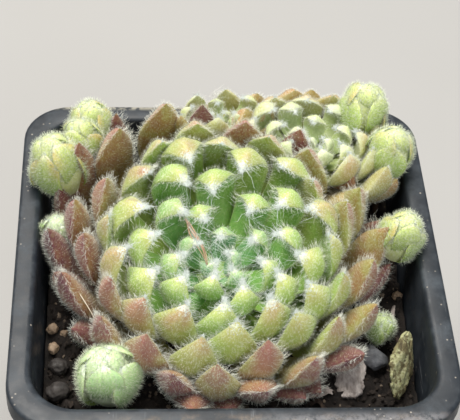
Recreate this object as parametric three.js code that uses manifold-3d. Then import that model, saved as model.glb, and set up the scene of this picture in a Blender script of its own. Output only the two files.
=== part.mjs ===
// Hens and chicks: a hairy houseleek with its offsets, growing in a square nursery pot.
// Millimetres, +Z up. The origin is the centre of the pot's underside.
//
// Every rosette is made by one rule. Its leaves follow each other round the axis by the golden angle,
// from the youngest at the heart to the oldest outside, and all that changes with a leaf's age is read
// from the rosette's habit: where its root and tip are, how they rise, how wide and how thick it is.

import * as THREE from 'three';
import { mergeVertices } from 'three/addons/utils/BufferGeometryUtils.js';
import Module from 'manifold-3d';

const wasm = await Module();
wasm.setup();

// ---------------------------------------------------------------- driving dimensions

const rimHeight = 80;            // the pot's height, and the level that the plants are placed from
const rimWidth = 90;             // square, outside the flange
const mouthWidth = 80.9;         // square, inside the flange
const cornerShare = 0.235;       // corner radius as a share of half the width
const wallTaper = 0.1;           // how far each side leans in for each millimetre down
const wallThickness = 1.1;
const floorThickness = 1.3;
const flangeThickness = 1.4;
const lipHeight = 5;
const lipThickness = 1.2;
const footChamfer = 1.2;

const soilEdgeDepth = 13.5;      // below the rim, at the wall
const soilMound = 4;             // how much higher the mix stands in the middle
const soilLump = 0.55;           // height of its lumps
const gap = 0.3;                 // air between pieces that touch
const stemDepth = 12;            // how deep a stem stands in the mix
const runnerDepth = 3;           // and how deep a chick's runner is rooted
const runnerRadius = 0.9;
const chickLeaves = 6;

const goldenAngle = 137.508;
const colours = {
  pot: 0x34373b, soil: 0x1d1a18, hen: 0x8c9a4a, second: 0xa9b27c, offset: 0xb4c08f, chick: 0xa9c65c,
  bark: 0x6f6259, lichen: 0x98a04a, darkBark: 0x4b4038, slate: 0x54555a, pebble: 0x2f2c2a, grain: 0xa08460,
};

// ---------------------------------------------------------------- small tools

const radians = THREE.MathUtils.degToRad;
const mix = THREE.MathUtils.lerp;
const smoothstep = THREE.MathUtils.smoothstep;

// A fixed draw from 0 to 1 for each pair of numbers.
function draw(seed, n) {
  const wave = Math.sin(seed * 12.9898 + n * 78.233) * 43758.5453;
  return wave - Math.floor(wave);
}

const sway = (seed, n, amount) => (2 * draw(seed, n) - 1) * amount;

// Reads a list of [share, value] pairs at a share, straight from one pair to the next.
function along(pairs, share) {
  const last = pairs.length - 1;
  for (let i = 0; i < last; i++) {
    const [from, low] = pairs[i];
    const [to, high] = pairs[i + 1];
    if (share <= to || i === last - 1) {
      return mix(low, high, THREE.MathUtils.clamp((share - from) / (to - from), 0, 1));
    }
  }
  return pairs[last][1];
}

function signedVolume(corners, faces) {
  const [a, b, c] = [new THREE.Vector3(), new THREE.Vector3(), new THREE.Vector3()];
  let volume = 0;
  for (let i = 0; i < faces.length; i += 3) {
    a.fromArray(corners, 3 * faces[i]);
    b.fromArray(corners, 3 * faces[i + 1]);
    c.fromArray(corners, 3 * faces[i + 2]);
    volume += a.dot(b.cross(c)) / 6;
  }
  return volume;
}

// A closed three.js geometry as a solid, faces out, with its seam and poles welded.
function solidOf(geometry) {
  const bare = geometry.clone();
  bare.deleteAttribute('normal');
  bare.deleteAttribute('uv');
  const welded = mergeVertices(bare, 1e-4);
  const corners = Float32Array.from(welded.attributes.position.array);
  const faces = [];
  for (let i = 0; i < welded.index.count; i += 3) {
    const [a, b, c] = [0, 1, 2].map((k) => welded.index.getX(i + k));
    if (a !== b && b !== c && c !== a) faces.push(a, b, c);
  }
  if (signedVolume(corners, faces) < 0) faces.reverse();
  const mesh = new wasm.Mesh({ numProp: 3, vertProperties: corners, triVerts: Uint32Array.from(faces) });
  return new wasm.Manifold(mesh);
}

const fuse = (solids) => solids.reduce((sum, solid) => sum.add(solid));

// The largest body of a solid: what a cut leaves loose is dropped.
function mainBody(solid) {
  const bodies = solid.decompose();
  return bodies.reduce((best, body) => (body.volume() > best.volume() ? body : best));
}

function paint(colour, roughness) {
  return new THREE.MeshStandardMaterial({ color: colour, roughness, metalness: 0 });
}

function meshOf(name, solid, material) {
  const { vertProperties, triVerts } = solid.getMesh();
  const geometry = new THREE.BufferGeometry();
  geometry.setAttribute('position', new THREE.BufferAttribute(Float32Array.from(vertProperties), 3));
  geometry.setIndex(new THREE.BufferAttribute(Uint32Array.from(triVerts), 1));
  const mesh = new THREE.Mesh(geometry, material);
  mesh.name = name;
  return mesh;
}

// ---------------------------------------------------------------- pot and potting mix

// The point of a rounded square's outline at a step, counted from the +X side towards +Y.
function squarePoint(halfWidth, step, arcSteps, sideSteps) {
  const quarter = arcSteps + sideSteps;
  const k = step % quarter;
  const radius = halfWidth * cornerShare;
  const centre = halfWidth - radius;
  const turn = radians(90) * Math.min(k / arcSteps, 1);
  const point = new THREE.Vector2(centre + radius * Math.cos(turn), centre + radius * Math.sin(turn));
  if (k > arcSteps) point.x = mix(centre, -centre, (k - arcSteps) / sideSteps);
  return point.rotateAround(new THREE.Vector2(), radians(90) * Math.floor(step / quarter));
}

// A lathe whose rings are rounded squares; each profile point is [half width, height].
function squareLathe(profile, arcSteps, sideSteps) {
  const points = profile.map(([halfWidth, height]) => new THREE.Vector2(halfWidth, height));
  const steps = 4 * (arcSteps + sideSteps);
  const lathe = new THREE.LatheGeometry(points, steps);
  const place = lathe.attributes.position;
  for (let step = 0; step <= steps; step++) {
    points.forEach((point, j) => {
      const { x, y } = squarePoint(point.x, step, arcSteps, sideSteps);
      place.setXYZ(step * points.length + j, x, y, point.y);
    });
  }
  return lathe;
}

const insideAt = (height) => mouthWidth / 2 - wallTaper * (rimHeight - height);
const outsideAt = (height) => insideAt(height) + wallThickness;

function potSolid() {
  const under = rimHeight - flangeThickness;
  const profile = [
    [0, 0], [outsideAt(0) - footChamfer, 0], [outsideAt(footChamfer), footChamfer],
    [outsideAt(under), under], [rimWidth / 2 - lipThickness, under],
    [rimWidth / 2 - lipThickness, rimHeight - lipHeight], [rimWidth / 2, rimHeight - lipHeight],
    [rimWidth / 2, rimHeight - 0.7], [rimWidth / 2 - 0.25, rimHeight - 0.2],
    [rimWidth / 2 - 0.8, rimHeight], [mouthWidth / 2 + 1.1, rimHeight],
    [mouthWidth / 2 + 0.4, rimHeight - 0.2],
    [insideAt(rimHeight - 0.9), rimHeight - 0.9], [insideAt(floorThickness + 2), floorThickness + 2],
    [insideAt(floorThickness) - 2, floorThickness], [0, floorThickness],
  ];
  let pot = solidOf(squareLathe(profile, 5, 1));
  const cornerHole = 21;
  const holeRadius = 4.5;
  const slot = new THREE.BoxGeometry(16, 7, 5);
  for (let side = 0; side < 4; side++) {
    const hole = new THREE.CylinderGeometry(holeRadius, holeRadius, 8, 12);
    hole.rotateX(radians(90)).translate(cornerHole, cornerHole, 0).rotateZ(radians(90) * side);
    const notch = slot.clone().translate(0, outsideAt(0) - 1, 0).rotateZ(radians(90) * side);
    pot = pot.subtract(solidOf(hole)).subtract(solidOf(notch));
  }
  return pot;
}

// Height of the mix's lumpy top.
function soilTop(x, y) {
  const share = Math.max(Math.abs(x), Math.abs(y)) / insideAt(rimHeight - soilEdgeDepth);
  const waves = [[0.9, 0.4, 0], [0.5, -1.1, 1.7], [1.6, 1.3, 0.6]];
  const lumps = waves.reduce((sum, [a, b, phase]) => sum + Math.sin(a * x + b * y + phase), 0);
  return rimHeight - soilEdgeDepth + soilMound * (1 - share ** 2) + soilLump * lumps / 1.5;
}

function soilSolid() {
  const edge = rimHeight - soilEdgeDepth;
  const foot = floorThickness + gap;
  const shares = [1, 0.93, 0.84, 0.74, 0.62, 0.45, 0.2, 0];
  const profile = [
    [0, foot], [insideAt(foot) - 2 - gap, foot], [insideAt(foot + 2) - gap, foot + 2],
    ...shares.map((share) => [share * (insideAt(edge - 1.5) - gap), edge]),
  ];
  const soil = squareLathe(profile, 3, 4);
  const place = soil.attributes.position;
  for (let i = 0; i < place.count; i++) {
    if (place.getZ(i) === Math.fround(edge)) place.setZ(i, soilTop(place.getX(i), place.getY(i)));
  }
  return solidOf(soil);
}

// ---------------------------------------------------------------- leaves and rosettes

// Rows of a leaf from tip to root: [share of its length, share of its width, share of its thickness].
const openRows = [[1, 0, 0], [0.91, 0.48, 0.6], [0.68, 1, 1], [0.4, 0.87, 0.9], [0, 0, 0]];
const closedRows = [[1, 0, 0], [0.84, 0.75, 0.8], [0.5, 1, 1], [0, 0, 0]];

// The open habit of a grown rosette, in shares of its reach. Pairs are read by the tip's reach.
const openHabit = {
  tipHeight: [
    [0, 0.03], [0.28, 0.18], [0.56, 0.29], [0.78, 0.28],
    [0.95, 0.21], [1.03, 0.16], [1.06, 0.1], [1.1, -0.08],
  ],
  tipRise: [
    [0, 130], [0.15, 160], [0.3, 178], [0.5, 178], [0.6, 155], [0.7, 120],
    [0.82, 98], [0.92, 82], [1, 60], [1.06, 46], [1.1, 36],
  ],
  bladeRise: [
    [0, 75], [0.3, 80], [0.6, 80], [0.75, 76], [0.85, 66],
    [0.92, 56], [1, 44], [1.06, 36], [1.1, 28],
  ],
  rootReach: [[0, 0.01], [1.1, 0.16]],
  rootHeight: [[0, -0.14], [0.3, -0.2], [1.1, -0.28]],
  rootRise: [[0, 80], [0.3, 35], [0.6, 12], [1.1, 0]],
  width: [[0, 0.11], [0.14, 0.155], [0.3, 0.2], [0.43, 0.23], [0.6, 0.265], [0.8, 0.28], [1.1, 0.28]],
  thickness: [[0, 0.05], [0.28, 0.1], [0.56, 0.13], [1.1, 0.135]],
};

// The closed habit of a chick, in shares of its radius: every midline follows the globe from foot to crown.
const closedHabit = {
  tipHeight: [[0, 1], [0.5, 0.87], [0.82, 0.57]],
  tipRise: [[0, 178], [0.5, 150], [0.82, 122]],
  rootReach: [[0, 0.4], [1, 0.5]],
  rootHeight: [[0, -0.87], [1, -0.87]],
  rootRise: [[0, 30], [1, 30]],
  width: [[0, 0.75], [0.5, 1.15], [0.82, 1.3]],
  thickness: [[0, 0.2], [0.82, 0.26]],
  handle: 0.45,
};

// An open leaf's midline: it runs out from the stem, stands up as a blade and bends in at its tip.
function jointedMidline(root, tip, [rootRise, bladeRise, tipRise]) {
  const steps = 40;
  const length = 1.08 * tip.distanceTo(root);
  const path = [tip.clone()];
  for (let step = steps; step > 0; step--) {
    const share = (step - 0.5) / steps;
    const stand = mix(rootRise, bladeRise, smoothstep(share, 0.12, 0.5));
    const angle = mix(stand, tipRise, smoothstep(share, 0.66, 1));
    const ahead = new THREE.Vector2(Math.cos(angle), Math.sin(angle));
    path.unshift(path[0].clone().addScaledVector(ahead, -length / steps));
  }
  const miss = root.clone().sub(path[0]);
  path.forEach((point, step) => point.addScaledVector(miss, 1 - smoothstep(step / steps, 0, 0.62)));
  return new THREE.SplineCurve(path);
}

// A chick's leaf bends evenly from its root to its tip.
function roundedMidline(root, tip, [rootRise, tipRise], handle) {
  const reach = handle * tip.distanceTo(root);
  const out = new THREE.Vector2(Math.cos(rootRise), Math.sin(rootRise));
  const back = new THREE.Vector2(Math.cos(tipRise), Math.sin(tipRise));
  return new THREE.CubicBezierCurve(
    root, root.clone().addScaledVector(out, reach), tip.clone().addScaledVector(back, -reach), tip,
  );
}

// One leaf of a rosette: its midline in the plane of its azimuth, its width and its thickness.
function leafOf(rosette, i) {
  const { habit, reach, seed } = rosette;
  const share = rosette.tipReach(i);
  const tipReach = share * (1 + sway(seed + 1, i, 0.03));
  const tipHeight = along(habit.tipHeight, share) + sway(seed + 2, i, 0.012);
  const tip = new THREE.Vector2(tipReach, tipHeight).multiplyScalar(reach);
  const root = new THREE.Vector2(along(habit.rootReach, share), along(habit.rootHeight, share));
  root.multiplyScalar(reach);
  const rises = [habit.rootRise, habit.bladeRise, habit.tipRise]
    .filter((pairs) => pairs)
    .map((pairs) => radians(along(pairs, share)));
  return {
    midline: habit.bladeRise
      ? jointedMidline(root, tip, rises)
      : roundedMidline(root, tip, rises, habit.handle),
    azimuth: radians(rosette.start + rosette.turn * i * goldenAngle + sway(seed + 3, i, 4)),
    roll: radians(sway(seed + 4, i, 9)),
    skew: sway(seed + 7, i, 0.28),
    halfWidth: reach * along(habit.width, share) * (1 + sway(seed + 5, i, 0.06)) / 2,
    thickness: reach * along(habit.thickness, share),
  };
}

// A sphere drawn out into a leaf: flat above, keeled below, grown all round by grow.
function leafSolid(rosette, leaf, grow) {
  const { sides, rows } = rosette;
  const ball = new THREE.SphereGeometry(1, sides, rows.length - 1);
  const place = ball.attributes.position;
  const point = new THREE.Vector3();
  rows.forEach(([length, width, depth], row) => {
    const mid = leaf.midline.getPoint(length);
    const tangent = leaf.midline.getTangent(length);
    mid.addScaledVector(tangent, row === 0 ? grow : 0);
    const bulk = depth > 0 ? grow : 0;
    const aside = leaf.halfWidth * leaf.skew * smoothstep(length, 0.6, 1);
    for (let side = 0; side <= sides; side++) {
      const turn = 2 * Math.PI * side / sides;
      const across = (leaf.halfWidth * width + bulk) * Math.cos(turn) + aside;
      const body = Math.sin(turn) > 0 ? 0.3 : 0.75;
      const lift = (leaf.thickness * depth * body + bulk) * Math.sin(turn);
      const beside = across * Math.cos(leaf.roll) - lift * Math.sin(leaf.roll);
      const above = across * Math.sin(leaf.roll) + lift * Math.cos(leaf.roll);
      const radius = mid.x - above * tangent.y;
      point.set(
        radius * Math.cos(leaf.azimuth) - beside * Math.sin(leaf.azimuth),
        (radius * Math.sin(leaf.azimuth) + beside * Math.cos(leaf.azimuth)) * rosette.squash,
        (mid.y + above * tangent.x) * rosette.tall,
      );
      point.applyMatrix4(rosette.frame);
      place.setXYZ(row * (sides + 1) + side, point.x, point.y, point.z);
    }
  });
  return solidOf(ball);
}

// The rosette's frame: its centre is measured from the pot's axis at the rim, its axis leans sideways.
function frameOf([x, y, z], [leanX, leanY]) {
  const axis = new THREE.Vector3(leanX, leanY, 1).normalize();
  const turn = new THREE.Quaternion().setFromUnitVectors(new THREE.Vector3(0, 0, 1), axis);
  return new THREE.Matrix4().makeRotationFromQuaternion(turn).setPosition(x, y, rimHeight + z);
}

function tipOf(rosette, leaf) {
  const tip = leaf.midline.getPoint(1);
  const point = new THREE.Vector3(tip.x * Math.cos(leaf.azimuth), tip.x * Math.sin(leaf.azimuth), tip.y);
  point.y *= rosette.squash;
  point.z *= rosette.tall;
  return point.applyMatrix4(rosette.frame);
}

function leavesOf(rosette) {
  const leaves = Array.from({ length: rosette.leaves }, (unused, i) => leafOf(rosette, i));
  return leaves.filter((leaf) => !rosette.crowdedOut(tipOf(rosette, leaf)));
}

// A tapered stalk between two points, with its ends on their levels.
function stalk(from, to, fromRadius, toRadius) {
  const length = from.distanceTo(to);
  const rod = new THREE.CylinderGeometry(fromRadius, toRadius, length, 8);
  const direction = from.clone().sub(to).normalize();
  rod.applyQuaternion(new THREE.Quaternion().setFromUnitVectors(new THREE.Vector3(0, 1, 0), direction));
  return rod.translate(...from.clone().add(to).multiplyScalar(0.5).toArray());
}

// The heart that the roots of the leaves are sunk in, and the stem below it, as solids.
function heartSolids(rosette, grow) {
  const { reach, frame, heart, stem } = rosette;
  const profile = heart.map(([radius, height]) => new THREE.Vector2(radius * reach, height * reach));
  profile.forEach((point) => { point.x += point.x > 0 ? grow : 0; });
  const core = new THREE.LatheGeometry(profile, rosette.sides + 2).rotateX(radians(90));
  core.scale(1, rosette.squash, rosette.tall);
  core.applyMatrix4(frame);
  const top = new THREE.Vector3(0, 0, stem.fromHeight * reach * rosette.tall).applyMatrix4(frame);
  const foot = new THREE.Vector3(stem.foot[0], stem.foot[1], 0);
  foot.z = soilTop(foot.x, foot.y) - stem.depth - grow;
  return [solidOf(core), solidOf(stalk(top, foot, stem.neck + grow, stem.radius + grow))];
}

function rosetteSolid(rosette, grow = 0) {
  const leaves = leavesOf(rosette).map((leaf) => leafSolid(rosette, leaf, grow));
  return fuse([...heartSolids(rosette, grow), ...leaves]);
}

// ---------------------------------------------------------------- the plants

const openHeart = [
  [0, -0.1], [0.2, -0.13], [0.4, -0.18], [0.5, -0.22], [0.48, -0.28], [0.14, -0.33], [0, -0.33],
];
const closedHeart = [[0, 0.86], [0.6, 0.6], [0.86, -0.05], [0.62, -0.7], [0, -0.95]];

// An open rosette: its centre is measured from the pot's axis at the rim.
function openRosette({ centre, lean, foot, stemRadius, ...facts }) {
  return {
    habit: openHabit, heart: openHeart, rows: openRows, frame: frameOf(centre, lean), turn: -1, tall: 1,
    tipReach: (i) => 1.1 * ((i + 0.6) / facts.leaves) ** 0.7,
    stem: { fromHeight: -0.28, foot, depth: stemDepth, neck: stemRadius, radius: stemRadius },
    ...facts,
  };
}

function chickRosette([centre, radius, tall, lean, foot], order) {
  return {
    habit: closedHabit, heart: closedHeart, rows: closedRows, frame: frameOf(centre, lean), sides: 5, turn: 1,
    tipReach: (i) => 0.14 + 0.68 * (i + 0.5) / chickLeaves,
    stem: { fromHeight: -0.7, foot, depth: runnerDepth, neck: 0.45 * radius, radius: runnerRadius },
    reach: radius, leaves: chickLeaves, start: 50 * order, seed: 50 + order,
    squash: 1, tall, crowdedOut: () => false,
  };
}

// Each chick: its centre from the pot's axis at the rim, its radius, how many times taller than wide it is,
// its lean, and where its runner roots.
const chickPlaces = {
  chick_front_left: [[-25.3, -29.4, -5.4], 6.2, 1.1, [-0.35, -0.4], [-22, -27]],
  chick_left: [[-36.6, 21, 3.6], 5.8, 1.4, [-0.25, 0.05], [-34, 17]],
  chick_left_low: [[-36.4, 7.4, -3.4], 3.3, 1.4, [-0.12, 0.1], [-35.5, 6]],
  chick_back_left: [[-29.6, 34.6, 3.8], 4.5, 1.2, [-0.15, 0.2], [-29, 33]],
  chick_back_left_small: [[-31.5, 28.2, 5.4], 4, 1.2, [-0.3, 0.1], [-31, 27]],
  chick_back_right: [[31.8, 36, 6.8], 5.5, 1.2, [0.2, 0.2], [31, 34]],
  chick_right_back: [[36.8, 25, 4.6], 5.1, 1.2, [0.3, 0.1], [35.5, 23]],
  chick_right: [[36.8, 2, 1.6], 4.7, 1.3, [0.3, 0.1], [35.5, 2]],
  chick_front_right: [[32.2, -15.4, -8.2], 3.3, 1.2, [0.25, -0.15], [30, -13.5]],
};

// Whether a tip lies within so many radii of a chick's centre.
function byChick(tip, [[x, y, z], radius], radii) {
  return tip.distanceTo(new THREE.Vector3(x, y, rimHeight + z)) < radii * radius;
}

const hen = openRosette({
  centre: [-1.7, -2.5, 0], lean: [0.04, -0.16], reach: 35, leaves: 77, sides: 6, start: -4, seed: 11,
  squash: 1, foot: [-1.5, -1], stemRadius: 3.6,
  crowdedOut: (tip) => byChick(tip, chickPlaces.chick_front_right, 3.5),
});

// No leaf of a smaller rosette grows where its tip would stand among the hen's leaves or in a chick.
function crowdedOut(tip) {
  const { x, y, z } = tip.clone().applyMatrix4(hen.frame.clone().invert());
  const inHen = Math.hypot(x, y) < 0.93 * hen.reach && z < 0.3 * hen.reach;
  return inHen || Object.values(chickPlaces).some((chick) => byChick(tip, chick, 1.1));
}

const second = openRosette({
  centre: [18.5, 28, 4], lean: [0.06, 0.02], reach: 18.5, leaves: 42, sides: 5, start: 40, seed: 23,
  squash: 0.85, foot: [19, 28], stemRadius: 2.6, crowdedOut,
});

const offset = openRosette({
  centre: [-1, 36, 5], lean: [-0.05, 0.05], reach: 12.5, leaves: 20, sides: 5, start: 10, seed: 37,
  squash: 0.55, foot: [-1.5, 35], stemRadius: 1.8, crowdedOut,
});

const chicks = Object.entries(chickPlaces).map(([name, facts], order) => [name, chickRosette(facts, order)]);

// ---------------------------------------------------------------- bark and stones on the mix

// A rough chip: a slab with every corner of its grid drawn a little out of place.
function chipGeometry([width, length, thickness], seed) {
  const slab = new THREE.BoxGeometry(width, length, thickness, 2, 4, 1);
  const place = slab.attributes.position;
  for (let i = 0; i < place.count; i++) {
    const [x, y, z] = [place.getX(i), place.getY(i), place.getZ(i)];
    const corner = Math.round(x * 7.3 + y * 13.7 + z * 31.1);
    const taper = 1 - 0.45 * (2 * Math.abs(y) / length) ** 2;
    place.setXYZ(i, x * taper + sway(seed, corner, 0.09 * width), y + sway(seed + 1, corner, 0.05 * length),
      z + sway(seed + 2, corner, 0.16 * thickness));
  }
  return slab;
}

// A rounded stone, its corners pushed a little in or out.
function stoneGeometry([width, length, height], seed, detail = 1) {
  const stone = new THREE.IcosahedronGeometry(0.5, detail);
  const place = stone.attributes.position;
  for (let i = 0; i < place.count; i++) {
    const corner = Math.round(place.getX(i) * 97 + place.getY(i) * 193 + place.getZ(i) * 389);
    const swell = 1 + sway(seed, corner, 0.14);
    place.setXYZ(i, place.getX(i) * swell, place.getY(i) * swell, place.getZ(i) * swell);
  }
  return stone.scale(width, length, height);
}

const grainGeometry = (size, seed) => stoneGeometry(size, seed, 0);

// What lies on the mix: its shape, size, place in plan, how deep it is sunk, its turn in degrees and colour.
const litter = {
  bark_chip: [chipGeometry, [4.8, 9.6, 1.7], [24.8, -25.4], 0.2, [8, -6, -8], colours.bark],
  bark_chip_lichened: [chipGeometry, [5, 13.5, 1.7], [35, -24.8], -4, [40, 52, -14], colours.lichen],
  bark_chip_small: [chipGeometry, [2.2, 7, 1], [17.6, -28.6], 0, [4, 10, -68], colours.darkBark],
  bark_splinter: [chipGeometry, [1.2, 9, 1], [35.2, -9.6], 0, [0, 0, -18], colours.bark],
  slate_stone: [stoneGeometry, [4.6, 6, 4.6], [29.9, -21.6], 1, [0, 0, 10], colours.slate],
  pebble_front: [stoneGeometry, [5, 4.2, 3.2], [-35.4, -28.5], 0.8, [0, 0, 30], colours.pebble],
  pebble_back: [stoneGeometry, [4.2, 3.6, 3], [-35.6, -21.8], 0.7, [0, 0, -20], colours.pebble],
  grain_1: [grainGeometry, [2.4, 2.2, 2.2], [-37.4, -11.6], 0.5, [0, 0, 0], colours.grain],
  grain_2: [grainGeometry, [1.9, 1.7, 1.7], [-34.8, -12.6], 0.4, [0, 0, 40], colours.grain],
  grain_3: [grainGeometry, [2.6, 2.3, 2.1], [-36.9, -16.6], 0.5, [0, 0, 15], colours.grain],
  grain_4: [grainGeometry, [2, 2.3, 1.9], [37.6, -2.4], 0.4, [0, 0, 70], colours.grain],
};

function litterMesh(name, [make, size, at, sunk, turn, colour], order) {
  const mesh = new THREE.Mesh(make(size, 70 + 3 * order), paint(colour, 0.9));
  mesh.name = name;
  mesh.position.set(at[0], at[1], soilTop(...at) + size[2] / 2 - sunk);
  mesh.rotation.set(...turn.map(radians));
  mesh.updateMatrix();
  return mesh;
}

// The seat that a piece presses into the mix: its own shape, larger by the gap all round.
function seatSolid(mesh, [width, length, height]) {
  const grown = mesh.geometry.clone();
  grown.scale(1 + 2 * gap / width, 1 + 2 * gap / length, 1 + 2 * gap / height).applyMatrix4(mesh.matrix);
  return solidOf(grown);
}

// ---------------------------------------------------------------- the whole

// The space that plants may fill: inside the pot's walls, and anywhere above its rim.
function freeSpace() {
  const wide = 2 * rimWidth;
  const profile = [
    [0, floorThickness], [insideAt(floorThickness) - gap, floorThickness],
    [insideAt(rimHeight) - gap, rimHeight + gap], [wide, rimHeight + gap],
    [wide, rimHeight + wide], [0, rimHeight + wide],
  ];
  return solidOf(squareLathe(profile, 5, 1));
}

const plants = [
  ['hen_rosette', hen, colours.hen],
  ...chicks.map(([name, rosette]) => [name, rosette, colours.chick]),
  ['second_rosette', second, colours.second],
  ['offset_rosette', offset, colours.offset],
];

const whole = new THREE.Group();
const space = freeSpace();
let soil = soilSolid();
const grownPlants = [];

for (const [name, rosette, colour] of plants) {
  const clear = grownPlants.reduce((solid, other) => solid.subtract(other), rosetteSolid(rosette));
  whole.add(meshOf(name, mainBody(clear.intersect(space)), paint(colour, 0.6)));
  const grown = rosetteSolid(rosette, gap);
  grownPlants.push(grown);
  soil = soil.subtract(grown);
}

Object.entries(litter).forEach(([name, facts], order) => {
  const mesh = litterMesh(name, facts, order);
  whole.add(mesh);
  soil = soil.subtract(seatSolid(mesh, facts[1]));
});

whole.add(meshOf('potting_mix', mainBody(soil), paint(colours.soil, 1)));
whole.add(meshOf('pot', potSolid(), paint(colours.pot, 0.45)));

export default whole;
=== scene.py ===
import math

import bpy
import numpy as np
from mathutils import Matrix, Vector, noise


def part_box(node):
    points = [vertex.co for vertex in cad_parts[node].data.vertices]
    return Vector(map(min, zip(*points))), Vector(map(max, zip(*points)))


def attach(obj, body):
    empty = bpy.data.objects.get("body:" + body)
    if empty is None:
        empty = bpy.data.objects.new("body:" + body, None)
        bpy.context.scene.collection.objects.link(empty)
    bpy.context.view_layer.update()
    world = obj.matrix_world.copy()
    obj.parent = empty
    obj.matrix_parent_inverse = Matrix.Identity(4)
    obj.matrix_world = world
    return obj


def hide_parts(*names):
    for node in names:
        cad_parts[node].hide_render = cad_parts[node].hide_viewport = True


# Hens and chicks: a hairy houseleek with its offsets in a square nursery pot.
# Shapes are worked out in millimetres, as the solids are, and every mesh is made in metres.

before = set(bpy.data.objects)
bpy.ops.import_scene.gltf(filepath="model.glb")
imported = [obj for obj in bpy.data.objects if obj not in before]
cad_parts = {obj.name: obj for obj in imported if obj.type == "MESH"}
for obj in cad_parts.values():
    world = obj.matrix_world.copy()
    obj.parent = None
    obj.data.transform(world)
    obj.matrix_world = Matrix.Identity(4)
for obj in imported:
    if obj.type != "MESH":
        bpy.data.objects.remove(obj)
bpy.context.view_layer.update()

MM = 0.001

# ---------------------------------------------------------------- driving dimensions

rim_height = 80
rim_width = 90
mouth_width = 80.9
corner_share = 0.235
wall_taper = 0.1
wall_thickness = 1.1
floor_thickness = 1.3
flange_thickness = 1.4
lip_height = 5
lip_thickness = 1.2
foot_chamfer = 1.2

soil_edge_depth = 13.5
soil_mound = 4
soil_lump = 0.55
gap = 0.3
drain_radius = 4.5
drain_place = 21
notch_size = (16, 7, 5)

# leaves and their tips: places along a leaf are shares from its root at 0 to its tip at 1
golden_angle = math.radians(137.508)
chick_leaves = 7
low_leaf_reach = 0.94   # of the reach that the oldest upright leaves have
bend_from, bend_to = 0.67, 0.85   # where an open leaf's tip bends in
broadest = 0.71
keel_rise, keel_width = 0.36, 0.26   # the ridge along a leaf's back, in shares of its thickness and width

# hairs
hair_guide = (0.31, 0.52, 0.79)   # a direction to square hairs and threads from
comb_from, comb_to = 0.52, 0.98   # where along a leaf its margins are hairy
fewest_in_tuft = 6
trailing_share = 0.03   # of a tuft's hairs

fewer = 1.0


# ---------------------------------------------------------------- small tools

def draw(seed, n):
    """A fixed draw from 0 to 1 for each pair of numbers."""
    wave = math.sin(seed * 12.9898 + n * 78.233) * 43758.5453
    return wave - math.floor(wave)


def sway(seed, n, amount):
    """A fixed draw from minus an amount to plus it."""
    return (2 * draw(seed, n) - 1) * amount


def along(pairs, share):
    """Reads a list of (share, value) pairs at a share, straight from one pair to the next."""
    return float(np.interp(share, [p[0] for p in pairs], [p[1] for p in pairs]))


def smooth(value, low, high):
    """Passes softly from 0 to 1 while the value goes from low to high."""
    t = np.clip((value - low) / (high - low), 0, 1)
    return t * t * (3 - 2 * t)


def linear(code):
    """A colour written as #rrggbb, as the linear values that a shader takes."""
    parts = [int(code[i:i + 2], 16) / 255 for i in (1, 3, 5)]
    return [p / 12.92 if p <= 0.04045 else ((p + 0.055) / 1.055) ** 2.4 for p in parts]


def read_at(at, places, rows):
    """Reads rows of numbers, given at some places, at others between them."""
    return np.stack([np.interp(at, places, column) for column in np.transpose(rows)], axis=1)


def around(sides):
    """Angles evenly spaced round a circle."""
    return 2 * math.pi * np.arange(sides) / sides


def add_object(name, data):
    """Puts an object with its data in the scene."""
    thing = bpy.data.objects.new(name, data)
    bpy.context.scene.collection.objects.link(thing)
    return thing


def smooth_mesh(name, points, faces):
    """A mesh that is shaded smooth."""
    mesh = bpy.data.meshes.new(name)
    mesh.from_pydata([tuple(p) for p in points], [], faces)
    mesh.polygons.foreach_set("use_smooth", [True] * len(mesh.polygons))
    return mesh


def mesh_object(name, points, faces, material, notes=None):
    """An object from points in millimetres, with notes kept on its points for its material and its hairs."""
    mesh = smooth_mesh(name, np.asarray(points) * MM, faces)
    for key, values in (notes or {}).items():
        values = np.asarray(values, dtype=np.float32)
        kind, field = ("FLOAT_VECTOR", "vector") if values.ndim == 2 else ("FLOAT", "value")
        mesh.attributes.new(key, kind, "POINT").data.foreach_set(field, values.ravel())
    mesh.materials.append(material)
    mesh.update()
    return add_object(name, mesh)


def keep(piece, slot, *nodes):
    """Sets a finished piece to ride with the plant's one body and hides the solids that it stands for."""
    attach(piece, "root")
    if nodes:
        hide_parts(*nodes)
    return piece


def normal(vectors):
    """The same directions, each made one unit long."""
    return vectors / np.maximum(np.linalg.norm(vectors, axis=-1, keepdims=True), 1e-9)


def ring_faces(rings, sides):
    """Faces of an open tube, from each ring of points to the next."""
    faces = []
    for ring in range(rings - 1):
        low, high = ring * sides, (ring + 1) * sides
        for side in range(sides):
            after = (side + 1) % sides
            faces.append((low + side, low + after, high + after, high + side))
    return faces


def tube_faces(rings, sides):
    """Faces of a tube with a cap over its first ring and over its last."""
    last = (rings - 1) * sides
    return ring_faces(rings, sides) + [tuple(range(sides))[::-1], tuple(range(last, last + sides))]


def spokes(ahead, sides):
    """Directions square to each step of a path, evenly turned about it."""
    across = normal(np.cross(ahead, hair_guide))
    beside = np.cross(ahead, across)
    turn = around(sides)[:, None]
    return np.cos(turn) * across[..., None, :] + np.sin(turn) * beside[..., None, :]


def sleeve(path, radii, sides):
    """A closed tube along a path, with a radius for each of its points."""
    outward = spokes(normal(np.gradient(path, axis=0)), sides)
    points = (path[:, None] + outward * np.asarray(radii)[:, None, None]).reshape(-1, 3)
    return points, tube_faces(len(path), sides)


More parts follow.
